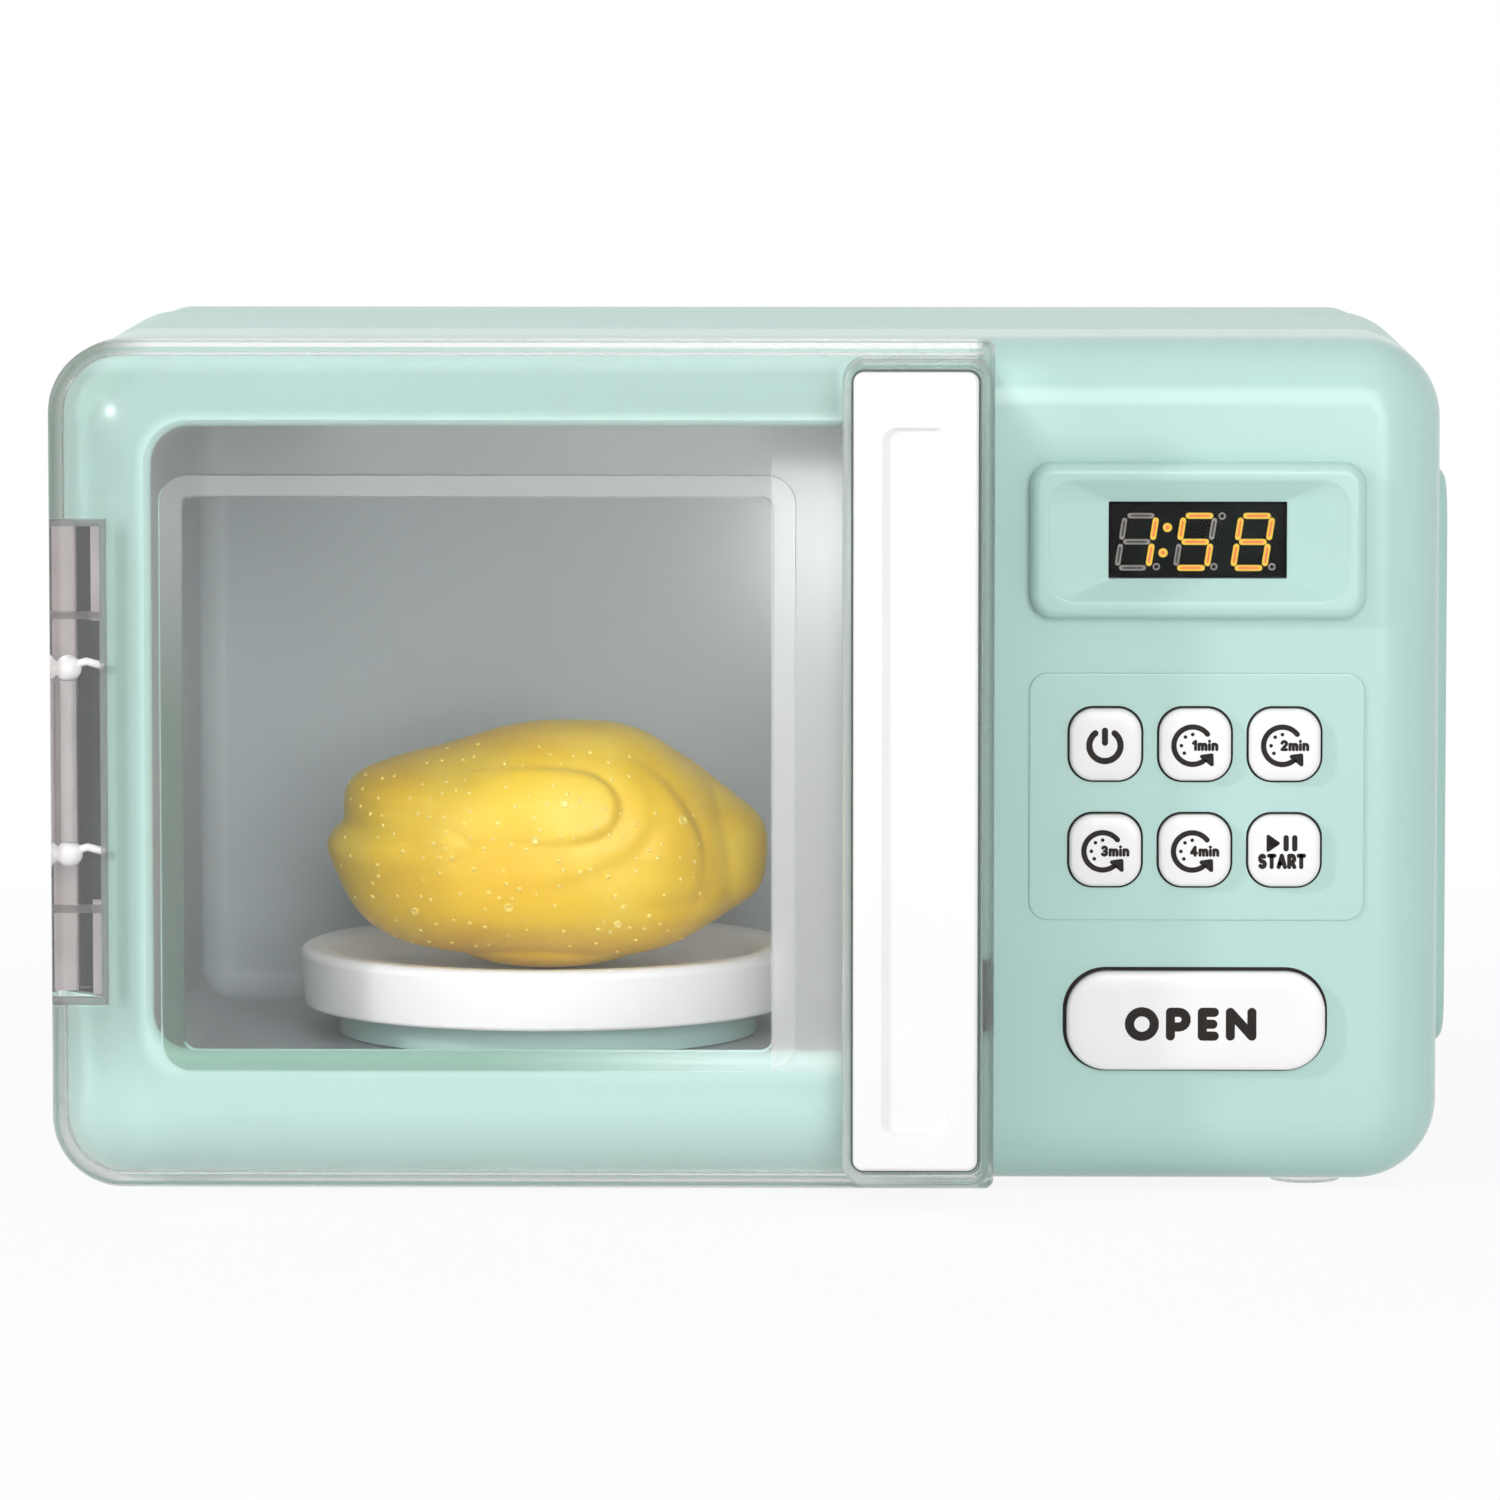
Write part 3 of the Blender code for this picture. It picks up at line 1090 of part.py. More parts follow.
def build_buttons(white, frame):
    for name, x, z in button_places():
        cap(f"button_{name}", x, z, BUTTON_WIDTH, BUTTON_HEIGHT, BUTTON_CORNER,
            BUTTON_PROUD + FIELD_PROUD, white, frame)


def cap(name, x, z, width, height, corner, proud, white, frame):
    """A button: its cap in the hole, a flange behind the wall, and a stem."""
    pivot = (x, 0, z)
    sides = sides_about(x, z, width, height)
    flange_front = WALL + GAP
    piece = add(name, rounded_block(sides, corner, BUTTON_ROUND, -proud,
                                    flange_front + BUTTON_FLANGE / 2), white, frame, pivot)
    flange = outline(*sides_about(x, z, width, height, BUTTON_FLANGE_LAP),
                     corner + BUTTON_FLANGE_LAP)
    join(piece, loft([stand(flange, flange_front), stand(flange, flange_front + BUTTON_FLANGE)]))
    join(piece, rod(BUTTON_STEM_RADIUS, (x, flange_front + BUTTON_FLANGE - FUSE, z),
                    BUTTON_STEM_END - flange_front - BUTTON_FLANGE + FUSE, "Y"))
    return piece


def build_latch(white, frame):
    """The wide button, and the sliding claw that its wedge pushes aside."""
    button = cap("open_button", CONTROL_X, OPEN_Z, OPEN_WIDTH, OPEN_HEIGHT,
                 OPEN_CORNER, OPEN_PROUD, white, frame)
    low = LATCH_BOTTOM + GAP * 2
    high = LATCH_TOP - GAP * 2
    left = CONTROL_X - OPEN_WIDTH / 2 + WEDGE_INSET
    right = left + WEDGE_WIDTH
    wedge = ((left, WALL + GAP * 2), (right, WALL + GAP * 2), (right, WEDGE_DEPTH),
             (left, WEDGE_DEPTH + WEDGE_WIDTH))
    join(button, loft([[Vector((x, depth, z)) for x, depth in wedge] for z in (low, high)]))
    claw_left = LATCH_LEFT + LATCH_WIDTH + CLAW_GAP
    ramp_front = WEDGE_DEPTH + WEDGE_GAP / 2
    ramp_right = right + WEDGE_GAP / 2
    bar_back = BAR_DEPTH + BAR_THICK
    bar_right = right + BAR_TAIL
    bar = ((claw_left, CLAW_DEPTH), (claw_left + CLAW_WIDTH, CLAW_DEPTH),
           (claw_left + CLAW_WIDTH, BAR_DEPTH),
           (ramp_right - (BAR_DEPTH - ramp_front), BAR_DEPTH), (ramp_right, ramp_front),
           (ramp_right + CLAW_WIDTH, ramp_front), (ramp_right + CLAW_WIDTH, BAR_DEPTH),
           (bar_right, BAR_DEPTH), (bar_right, bar_back), (claw_left, bar_back))
    slide = loft([[Vector((x, depth, z)) for x, depth in bar]
                  for z in (LATCH_BOTTOM, LATCH_TOP)])
    add("latch_slide", slide, white, frame, (claw_left, BAR_DEPTH, LATCH_BOTTOM))


def build_electronics(finishes, frame):
    """The board with its screws, the button mat, the display and its pane."""
    board = add("control_board", box(BOARD_LEFT, BOARD_RIGHT, BOARD_DEPTH,
                                     BOARD_DEPTH + BOARD_THICK, BOARD_BOTTOM, BOARD_TOP),
                finishes["board"], frame)
    for index, (x, z) in enumerate(board_corners(), 1):
        cut(board, rod(SCREW_RADIUS + SCREW_CLEARANCE, (x, BOARD_DEPTH - OVERRUN, z),
                       BOARD_THICK + OVERRUN * 2, "Y"))
        seat = BOARD_DEPTH + BOARD_THICK + GAP
        screw(f"board_screw_{index}", x, seat, z, SCREW_RADIUS, SCREW_HEAD_RADIUS, SCREW_HEAD,
              SCREW_REACH, finishes["steel"], frame)
    back = BOARD_DEPTH - GAP
    places = button_places()
    mat = box(places[0][1] - MAT_MARGIN, places[-1][1] + MAT_MARGIN, back - MAT_THICK, back,
              places[-1][2] - MAT_MARGIN, places[0][2] + MAT_MARGIN)
    mat = add("button_mat", mat, finishes["rubber"], frame)
    for _, x, z in places:
        join(mat, rod(DOME_RADIUS, (x, back - MAT_THICK - DOME_RISE, z),
                      DOME_RISE + MAT_THICK / 2, "Y"))
    pane_front = -WINDOW_PROUD + GAP
    pane = inner_outline(WINDOW_SIDES, GAP, WINDOW_CORNER)
    add("display_window", loft([stand(pane, pane_front), stand(pane, pane_front + PANE_THICK)]),
        finishes["smoked"], frame)
    front = pane_front + PANE_THICK + GAP
    left, right, bottom, top = WINDOW_SIDES
    module = add("display_module", box(left + GAP * 2, right - GAP * 2, front, WALL + GAP * 2,
                                       bottom + GAP * 2, top - GAP * 2),
                 finishes["black"], frame)
    join(module, box(left - DISPLAY_MARGIN, right + DISPLAY_MARGIN, WALL + GAP, back,
                     bottom - DISPLAY_MARGIN, top + DISPLAY_MARGIN))


def bay_sides(margin=0):
    """Inside of the battery bay, seen from the back."""
    half_length = CELL_LENGTH / 2 + BAY_END + margin
    half_height = CELL_PITCH * (CELL_COUNT - 1) / 2 + CELL_RADIUS + BAY_SIDE + margin
    return (BAY_X - half_length, BAY_X + half_length, BAY_Z - half_height, BAY_Z + half_height)


def hatch_sides():
    """The hatch: the bay's mouth, a lap all round, and room for its screw at one end."""
    left, right, bottom, top = bay_sides(BAY_WALL + HATCH_LAP)
    return (left, right + HATCH_SCREW_INSET, bottom, top)


def build_battery_bay(finishes, frame):
    """A tray behind the hatch with three cells, their contacts, the hatch and its screw."""
    cell_depth = BODY_DEPTH - WALL - GAP * 2 - CELL_RADIUS
    floor = cell_depth - CELL_RADIUS - GAP
    rim = BODY_DEPTH - WALL - GAP
    left, right, bottom, top = hatch_sides()
    rings = [stand(outline(*bay_sides(), GAP * 2), floor),
             stand(outline(*bay_sides(), GAP * 2), rim)]
    flange = (left - BAY_FLANGE, right + BAY_FLANGE, bottom - BAY_FLANGE, top + BAY_FLANGE)
    rings += [stand(outline(*flange, BAY_FLANGE), rim),
              stand(outline(*flange, BAY_FLANGE), rim - BAY_FLANGE_THICK),
              stand(outline(*bay_sides(BAY_WALL), BAY_WALL), rim - BAY_FLANGE_THICK),
              stand(outline(*bay_sides(BAY_WALL), BAY_WALL), floor - BAY_WALL)]
    tray = add("battery_box", loft(rings), finishes["dark"], frame)
    screw_x = right - HATCH_SCREW_INSET
    cut(tray, rod(SCREW_RADIUS + SCREW_CLEARANCE, (screw_x, rim - OVERRUN, BAY_Z),
                  OVERRUN * 2, "Y"))
    for index in range(CELL_COUNT):
        z = BAY_Z + (index - (CELL_COUNT - 1) / 2) * CELL_PITCH
        battery(f"battery_{index + 1}", cell_depth, z, index % 2, finishes["battery"], frame)
    for name, side in (("contact_left", -1), ("contact_right", 1)):
        contact(name, side, cell_depth, finishes["steel"], frame)
    hatch = add("battery_cover", loft([
        stand(inner_outline(hatch_sides(), 0, HATCH_CORNER), rim + GAP),
        stand(inner_outline(hatch_sides(), 0, HATCH_CORNER), BODY_DEPTH - SEAM_CHAMFER),
        stand(inner_outline(hatch_sides(), SEAM_CHAMFER, HATCH_CORNER), BODY_DEPTH),
    ]), finishes["mint"], frame, (BAY_X, BODY_DEPTH, BAY_Z))
    head_seat = BODY_DEPTH - SCREW_HEAD
    cut(hatch, rod(SCREW_RADIUS + SCREW_CLEARANCE, (screw_x, rim - OVERRUN, BAY_Z),
                   OVERRUN * 3, "Y"))
    cut(hatch, rod(SCREW_HEAD_RADIUS + SCREW_CLEARANCE, (screw_x, head_seat, BAY_Z),
                   OVERRUN, "Y"))
    screw("battery_cover_screw", screw_x, head_seat + GAP, BAY_Z, SCREW_RADIUS,
          SCREW_HEAD_RADIUS, SCREW_HEAD - GAP, SCREW_REACH, finishes["steel"], frame)


def battery(name, depth, z, turned_round, finish, frame):
    length = CELL_LENGTH - CELL_TIP
    profile = ((0, 0), (CELL_RADIUS - FUSE, 0), (CELL_RADIUS, FUSE),
               (CELL_RADIUS, length - FUSE), (CELL_RADIUS - FUSE, length),
               (CELL_TIP_RADIUS, length), (CELL_TIP_RADIUS, CELL_LENGTH), (0, CELL_LENGTH))
    mesh = turned(profile, (BAY_X - CELL_LENGTH / 2, depth, z), "X", 20)
    if turned_round:
        flip = Matrix.Scale(-1, 4, (1, 0, 0))
        about = Matrix.Translation((BAY_X, 0, 0))
        bmesh.ops.transform(mesh, matrix=about @ flip @ about.inverted(), verts=mesh.verts)
    add(name, mesh, finish, frame)


def contact(name, side, depth, steel, frame):
    """A sprung strip at one end of the bay, with a nub for each cell."""
    end = BAY_X + side * (CELL_LENGTH / 2 + BAY_END - GAP)
    inside = end - side * CONTACT_THICK
    _, _, bottom, top = bay_sides(-GAP * 2)
    strip = add(name, box(min(end, inside), max(end, inside), depth - CELL_RADIUS / 2,
                          depth + CELL_RADIUS / 2, bottom, top), steel, frame)
    reach = BAY_END - GAP * 2 - CONTACT_THICK
    for index in range(CELL_COUNT):
        z = BAY_Z + (index - (CELL_COUNT - 1) / 2) * CELL_PITCH
        start = min(inside + side * FUSE / 2, inside - side * reach)
        join(strip, rod(CONTACT_NUB_RADIUS, (start, depth, z), reach + FUSE / 2, "X", 12))


def build_speaker(dark, frame):
    """A small speaker behind the slots of the rear cover."""
    back = BODY_DEPTH - WALL - GAP
    profile = ((0, -SPEAKER_DEPTH), (SPEAKER_MAGNET_RADIUS, -SPEAKER_DEPTH),
               (SPEAKER_MAGNET_RADIUS, -SPEAKER_DEPTH / 2),
               (SPEAKER_RADIUS - SPEAKER_FRAME, -SPEAKER_FRAME), (SPEAKER_RADIUS, -SPEAKER_FRAME),
               (SPEAKER_RADIUS, 0), (SPEAKER_RADIUS - SPEAKER_FRAME, 0),
               (SPEAKER_MAGNET_RADIUS, -SPEAKER_DEPTH / 4), (0, -SPEAKER_DEPTH / 4))
    add("speaker", turned(profile, (SPEAKER_X, back, SPEAKER_Z), "Y", 32), dark, frame)


def smooth_route(points, count):
    """Points spread along a smooth curve through the given ones."""
    ends = [points[0] * 2 - points[1], *points, points[-1] * 2 - points[-2]]
    spans = len(points) - 1
    route = []
    for step in range(count):
        place = spans * step / (count - 1)
        span = min(int(place), spans - 1)
        share = place - span
        before, start, end, after = ends[span:span + 4]
        route.append(0.5 * ((2 * start) + (end - before) * share
                            + (2 * before - 5 * start + 4 * end - after) * share ** 2
                            + (3 * start - before - 3 * end + after) * share ** 3))
    return route


def wire(name, places, finish, frame):
    curve = bpy.data.curves.new(name, "CURVE")
    curve.dimensions = "3D"
    curve.bevel_depth = WIRE_RADIUS
    curve.bevel_resolution = 1
    curve.use_fill_caps = True
    spline = curve.splines.new("POLY")
    route = smooth_route([Vector(place) for place in places], WIRE_POINTS)
    spline.points.add(len(route) - 1)
    for point, place in zip(spline.points, route):
        point.co = (*place, 1.0)
    curve.materials.append(finish)
    cable = bpy.data.objects.new(name, curve)
    bpy.context.scene.collection.objects.link(cable)
    cable.parent = frame


def build_wires(red, frame):
    """Leads from the board to the motor, the speaker and the battery box."""
    board_back = BOARD_DEPTH + BOARD_THICK + GAP + WIRE_RADIUS
    start = board_back + WIRE_RADIUS
    motor_right = MOTOR_X + MOTOR_WIDTH / 2
    under = (FLOOR_TOP + MOTOR_TOP) / 2
    lane = (MOUTH_RIGHT + BOARD_LEFT) / 2
    middle = (BOARD_LEFT + BOARD_RIGHT) / 2
    wire("motor_wire", ((motor_right + GAP + WIRE_RADIUS, TABLE_Y, under),
                        ((motor_right + lane) / 2, TABLE_Y - WALL, under),
                        (lane, TABLE_Y * 0.7, under),
                        (BOARD_LEFT + BOARD_INSET, TABLE_Y * 0.5, BOARD_BOTTOM * 0.6),
                        (middle - BOARD_INSET, start + BOARD_INSET, BOARD_BOTTOM + BOARD_INSET),
                        (middle - BOARD_INSET, start, BOARD_BOTTOM + BOARD_INSET * 3)), red, frame)
    speaker_front = BODY_DEPTH - WALL - GAP - SPEAKER_DEPTH
    wire("speaker_wire", ((SPEAKER_X, speaker_front - GAP - WIRE_RADIUS, SPEAKER_Z),
                          (SPEAKER_X, speaker_front - WALL * 3, SPEAKER_Z - WALL),
                          (middle, TABLE_Y * 1.6, BOARD_BOTTOM * 1.3),
                          (middle + BOARD_INSET, TABLE_Y * 0.8, BOARD_BOTTOM * 1.4),
                          (middle + BOARD_INSET, start + BOARD_INSET, BOARD_BOTTOM * 1.5),
                          (middle + BOARD_INSET, start, BOARD_BOTTOM * 1.5)), red, frame)
    bay_front = BODY_DEPTH - WALL - GAP * 3 - CELL_RADIUS * 2 - BAY_WALL
    bay_right = bay_sides(BAY_WALL)[1]
    wire("battery_wire", ((bay_right - WALL, bay_front - GAP - WIRE_RADIUS, BAY_Z),
                          (bay_right, bay_front - WALL * 2, BAY_Z),
                          (lane - WALL, bay_front - WALL * 3, BAY_Z + BOARD_INSET),
                          (BOARD_LEFT, TABLE_Y * 1.4, BAY_Z + BOARD_INSET * 2),
                          (BOARD_LEFT + BOARD_INSET * 2, TABLE_Y * 0.5, BAY_Z + BOARD_INSET * 3),
                          (BOARD_LEFT + BOARD_INSET * 3, start, BAY_Z + BOARD_INSET * 3)),
         red, frame)


# Lobes of the play food, a plucked bird: centre, half sizes and tilt in degrees. The
# lengths are shares of the food's length, across, deep and up from its middle. A lobe off
# the middle plane comes twice, once on each flank.
FOOD_LOBE_SHARES = (
    (0.00, 0.00, -0.02, 0.45, 0.31, 0.25, 0),
    (0.12, 0.00, 0.07, 0.29, 0.27, 0.235, -8),
    (-0.14, -0.19, 0.065, 0.31, 0.13, 0.105, -6),
    (-0.36, -0.13, -0.045, 0.14, 0.12, 0.095, 4),
    (0.27, -0.13, -0.03, 0.155, 0.19, 0.225, 28),
    (0.40, -0.05, -0.02, 0.10, 0.12, 0.125, 12),
)


def food_radius(direction):
    """How far the food's skin is from its middle in this direction."""
    total = 0.0
    for across, deep, up, *half, tilt in FOOD_LOBE_SHARES:
        for flank in ((1, -1) if deep else (1,)):
            turn = Matrix.Rotation(math.radians(tilt), 3, "Y")
            start = turn @ -Vector((across, deep * flank, up))
            ray = turn @ direction
            start = Vector([value / size for value, size in zip(start, half)])
            ray = Vector([value / size for value, size in zip(ray, half)])
            slope = start.dot(ray)
            room = slope ** 2 - ray.length_squared * (start.length_squared - 1)
            if room > 0:
                reach = (math.sqrt(room) - slope) / ray.length_squared
                total += math.exp(max(reach, 0) / FOOD_BLEND_SHARE)
    return FOOD_BLEND_SHARE * math.log(total)


def build_food(yellow, frame):
    mesh = bmesh.new()
    bmesh.ops.create_uvsphere(mesh, u_segments=FOOD_SEGMENTS, v_segments=FOOD_RINGS, radius=1)
    turn = Matrix.Rotation(math.pi / 2, 4, "Y")
    bmesh.ops.transform(mesh, matrix=turn, verts=mesh.verts)
    seat = PLATE_FLOOR + GAP - FOOD_Z
    for vert in mesh.verts:
        direction = vert.co.normalized()
        vert.co = direction * food_radius(direction) * FOOD_LENGTH
        vert.co.z = max(vert.co.z, seat)
    bmesh.ops.translate(mesh, verts=mesh.verts, vec=(TABLE_X, TABLE_Y, FOOD_Z))
    add("play_food", mesh, yellow, frame, (TABLE_X, TABLE_Y, FOOD_Z), FOOD_SMOOTH_ANGLE)


def build():
    clear_scene()
    finishes = {
        "mint": material("mint_plastic", (0.46, 0.70, 0.64), 0.32),
        "white": material("white_plastic", (0.86, 0.86, 0.86), 0.28),
        "clear": material("clear_plastic", (0.88, 0.92, 0.92), 0.08, 0.0, 0.9),
        "smoked": material("smoked_plastic", (0.04, 0.05, 0.05), 0.08, 0.0, 0.5),
        "grey": material("grey_plastic", (0.36, 0.40, 0.42), 0.38),
        "dark": material("dark_plastic", (0.06, 0.07, 0.07), 0.45),
        "black": material("display_black", (0.01, 0.01, 0.012), 0.2),
        "rubber": material("grey_rubber", (0.25, 0.27, 0.27), 0.8),
        "board": material("circuit_board", (0.05, 0.22, 0.10), 0.5),
        "steel": material("zinc_steel", (0.62, 0.62, 0.64), 0.3, 1.0),
        "brass": material("brass", (0.70, 0.52, 0.22), 0.3, 1.0),
        "battery": material("battery_wrap", (0.10, 0.10, 0.11), 0.35),
        "lamp": material("lamp_lens", (0.92, 0.90, 0.80), 0.2, 0.0, 0.6),
        "wire": material("red_wire", (0.55, 0.05, 0.05), 0.5),
        "yellow": material("yellow_vinyl", (0.76, 0.52, 0.04), 0.35),
    }
    frame = empty("oven_frame", (0, FACE_Y, 0))
    build_front_shell(finishes["mint"], frame)
    build_housing(finishes["mint"], frame)
    build_rear_cover(finishes["mint"], frame)
    build_rear_screws(finishes["steel"], frame)
    build_feet(finishes["rubber"], frame)
    lamp = build_liner(finishes["grey"], frame)
    add("cavity_lamp", lamp, finishes["lamp"], frame)
    table = build_turntable(finishes["mint"], finishes["white"], frame)
    build_drive(table, finishes["white"], finishes["brass"], finishes["dark"], frame)
    build_door(finishes["clear"], finishes["white"], frame)
    build_hinge_bracket(finishes["dark"], frame)
    build_buttons(finishes["white"], frame)
    build_latch(finishes["white"], frame)
    build_electronics(finishes, frame)
    build_battery_bay(finishes, frame)
    build_speaker(finishes["dark"], frame)
    build_wires(finishes["wire"], frame)
    build_food(finishes["yellow"], frame)


build()
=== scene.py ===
# %% [markdown]
# # A toy microwave oven, dressed for the camera
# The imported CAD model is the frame: it says where every piece stands and what moves with
# what. This lesson lays a finer skin over it, one piece or one finish at a time, and says
# how the real thing is made and why it is drawn this way.

# %% Load the frame
import json
import random
from math import copysign, cos, exp, pi, radians, sin, sqrt, tan

import bmesh
import bpy
from bmesh import ops
from mathutils import Matrix, Vector
from mathutils.bvhtree import BVHTree
from mathutils.kdtree import KDTree


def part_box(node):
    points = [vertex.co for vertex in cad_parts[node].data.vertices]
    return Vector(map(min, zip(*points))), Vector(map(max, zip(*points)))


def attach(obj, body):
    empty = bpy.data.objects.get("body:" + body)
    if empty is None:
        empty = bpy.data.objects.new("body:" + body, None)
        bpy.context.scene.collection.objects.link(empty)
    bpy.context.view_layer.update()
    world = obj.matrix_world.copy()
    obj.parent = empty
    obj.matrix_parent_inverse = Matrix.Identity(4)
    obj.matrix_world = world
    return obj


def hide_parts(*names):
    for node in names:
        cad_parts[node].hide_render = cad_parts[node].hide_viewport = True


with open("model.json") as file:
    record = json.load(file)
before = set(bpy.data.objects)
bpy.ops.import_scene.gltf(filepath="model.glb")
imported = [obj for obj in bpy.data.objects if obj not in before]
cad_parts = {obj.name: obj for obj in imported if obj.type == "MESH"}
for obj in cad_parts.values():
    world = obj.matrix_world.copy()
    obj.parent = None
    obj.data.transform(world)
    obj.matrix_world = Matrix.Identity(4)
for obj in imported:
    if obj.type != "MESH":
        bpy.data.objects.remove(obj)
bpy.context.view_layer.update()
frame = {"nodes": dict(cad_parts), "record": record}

print("nodes in the frame:", len(frame["nodes"]))

# %% [markdown]
# ## The camera
# The photograph was taken from far away with a long lens, a little above the oven. The
# place and the lens were fitted to the oven's straight edges, so a piece that is drawn
# where the CAD says also lands where the photograph shows it.

# %% Set up the camera
CAMERA_PLACE = (0.03167, -1.9675, 0.2756)
CAMERA_YAW = 0.0164
CAMERA_PITCH = 0.0954
CAMERA_LENS = 219.0


def linked(name, data):
    """A new object in the scene."""
    thing = bpy.data.objects.new(name, data)
    bpy.context.collection.objects.link(thing)
    return thing


def aim(thing, place, ahead):
    """Stands a camera or a lamp at a place and turns it along a direction."""
    thing.location = place
    thing.rotation_euler = Vector(ahead).to_track_quat("-Z", "Y").to_euler()


camera = bpy.data.cameras.new("camera")
camera.lens, camera.sensor_width = CAMERA_LENS, 36
bpy.context.scene.camera = linked("camera", camera)
level = cos(CAMERA_PITCH)
aim(bpy.context.scene.camera, CAMERA_PLACE,
    (-sin(CAMERA_YAW) * level, cos(CAMERA_YAW) * level, -sin(CAMERA_PITCH)))
print("camera at", CAMERA_PLACE, "with a lens of", CAMERA_LENS, "mm")

# %% [markdown]
# ## Mixing with nodes
# A finish is mixed from small nodes: what comes out of one feeds the next. One helper adds
# a node and fills its inputs with numbers, chart colours or what other nodes give. A
# chart's colours are in the screen's own scale, so they are turned into linear numbers.
# Patterns lie on Object coordinates, so they stay put on a piece that moves.

# %% Read a chart colour
def paint(chart):
    """Linear red, green, blue and alpha of a six-figure chart colour."""
    parts = []
    for start in (0, 2, 4):
        value = int(chart[start:start + 2], 16) / 255
        parts.append(value / 12.92 if value <= 0.04045 else ((value + 0.055) / 1.055) ** 2.4)
    return (*parts, 1.0)


print("mint in linear numbers:", [round(part, 3) for part in paint("B5DAD2")])


# %% Mix with nodes
class Mix:
    """The nodes of a material or of the air, and the usual steps in mixing them."""

    def __init__(self, owner, empty=False):
        """owner is a material, the air, or the name of a new material."""
        owner = bpy.data.materials.new(owner) if isinstance(owner, str) else owner
        owner.use_nodes = True
        self.owner, self.nodes, self.links = owner, owner.node_tree.nodes, owner.node_tree.links
        if empty:
            self.nodes.clear()

    def fill(self, node, inputs):
        for name, value in inputs.items():
            if hasattr(value, "node"):
                self.links.new(value, node.inputs[name])
            else:
                node.inputs[name].default_value = paint(value) if isinstance(value, str) else value

    def add(self, kind, inputs, output=0, **settings):
        """Adds a node with these inputs and settings, and gives one of its outputs."""
        node = self.nodes.new("ShaderNode" + kind)
        for name, value in settings.items():
            setattr(node, name, value)
        self.fill(node, inputs)
        return node.outputs[output]

    def sum(self, kind, *values):
        return self.add("Math", dict(enumerate(values)), operation=kind)

    def place(self):
        return self.add("TexCoord", {}, "Object")

    def noise(self, size, detail=3.0, roughness=0.5):
        """A noise whose lumps are about this many metres across."""
        return self.add("TexNoise", {"Scale": 1 / size, "Detail": detail,
                                     "Roughness": roughness, "Vector": self.place()}, "Fac")

    def ranged(self, value, low, high, start=0.3, end=0.7, kind="LINEAR"):
        """A number that runs from low to high while the value runs from start to end."""
        return self.add("MapRange", {"Value": value, "From Min": start, "From Max": end,
                                     "To Min": low, "To Max": high}, "Result",
                        interpolation_type=kind)

    def colours(self, share, first, second):
        return self.add("Mix", {"Factor": share, "A": first, "B": second}, "Result",
                        data_type="RGBA")

    def surface(self, inputs):
        self.fill(self.nodes["Principled BSDF"], inputs)

    def skin(self, colour, gloss, relief, strength, depth, **more):
        """Colours mixed by a noise, a wandering gloss and a light relief."""
        height = {"Height": relief, "Strength": strength, "Distance": depth}
        self.surface({"Base Color": colour, "Roughness": gloss,
                      "Normal": self.add("Bump", height, "Normal"), **more})

    def blended(self, noise, first, second):
        return self.colours(self.ranged(noise, 0.0, 1.0), first, second)

    def tint(self, mask, chart):
        """Lays another colour over the first wherever the mask is one."""
        first = self.nodes["Principled BSDF"].inputs["Base Color"].links[0].from_socket
        self.surface({"Base Color": self.colours(mask, first, chart)})


print("ready to mix with nodes")

# %% [markdown]
# ## A studio of white
# Big soft lamps hang over and beside the toy, in front of white paper. The paper and the
# air are white only for rays that a camera, a gloss or a clear wall sends out, so the
# white doesn't add light. The oven's own small lamp brightens the cavity's right side, and
# a weak one under the ceiling stands for its light thrown back by the tub.

# %% Light the studio
WHITE_RAYS = ("Is Camera Ray", "Is Glossy Ray", "Is Transmission Ray")
AIR_LIGHT = 0.54


def white_where_seen(mix, output, plain, white, share=1.0):
    """The white for rays that see the background, the plain one for all others."""
    path = mix.nodes.new("ShaderNodeLightPath").outputs
    total = path[WHITE_RAYS[0]]
    for name in WHITE_RAYS[1:]:
        total = mix.sum("MAXIMUM", total, path[name])
    seen = mix.sum("MULTIPLY", total, share)
    mix.fill(mix.nodes.new(output), {0: mix.add("MixShader", {0: seen, 1: plain, 2: white})})


def lamp(name, place, towards, size, watts):
    light = bpy.data.lights.new(name, "AREA")
    light.shape = "RECTANGLE"
    light.size, light.size_y = size
    light.energy = watts
    box = linked(name, light)
    aim(box, place, Vector(towards) - Vector(place))
    box.visible_camera = False


bpy.context.scene.world = bpy.data.worlds.new("studio_air")
air = Mix(bpy.context.scene.world, empty=True)
white_where_seen(air, "ShaderNodeOutputWorld", *(
    air.add("Background", {"Color": "FFFFFF", "Strength": strength})
    for strength in (AIR_LIGHT, 1.0)))
lamp("soft_box_above", (0.0, -0.35, 1.15), (0.0, 0.0, 0.08), (1.2, 0.9), 0.9)
lamp("soft_box_left", (-1.30, -0.80, 0.72), (0.0, 0.0, 0.09), (0.13, 0.13), 8.0)
lamp("soft_box_front", (0.34, -1.90, 0.68), (0.0, 0.0, 0.09), (0.9, 0.9), 13.3)
lamp("soft_box_low", (0.50, -1.70, 0.12), (0.0, 0.0, 0.06), (0.6, 0.15), 2.2)
lamp("cavity_light", (0.026, 0.034, 0.128), (0.0, 0.12, 0.090), (0.05, 0.03), 0.009)
lamp("cavity_bounce", (-0.046, 0.042, 0.158), (-0.046, 0.050, 0.0), (0.10, 0.06), 0.011)
bpy.context.scene.view_settings.view_transform = "Standard"
print("four soft boxes, the oven's own lamp, its bounce and the air are lit")

# %% [markdown]
# ## The floor
# A plain sheet of white paper. It takes the toy's shadow like any matt floor, but most of
# what the camera sees of it is its own white. Away from the toy it fades to pure white.

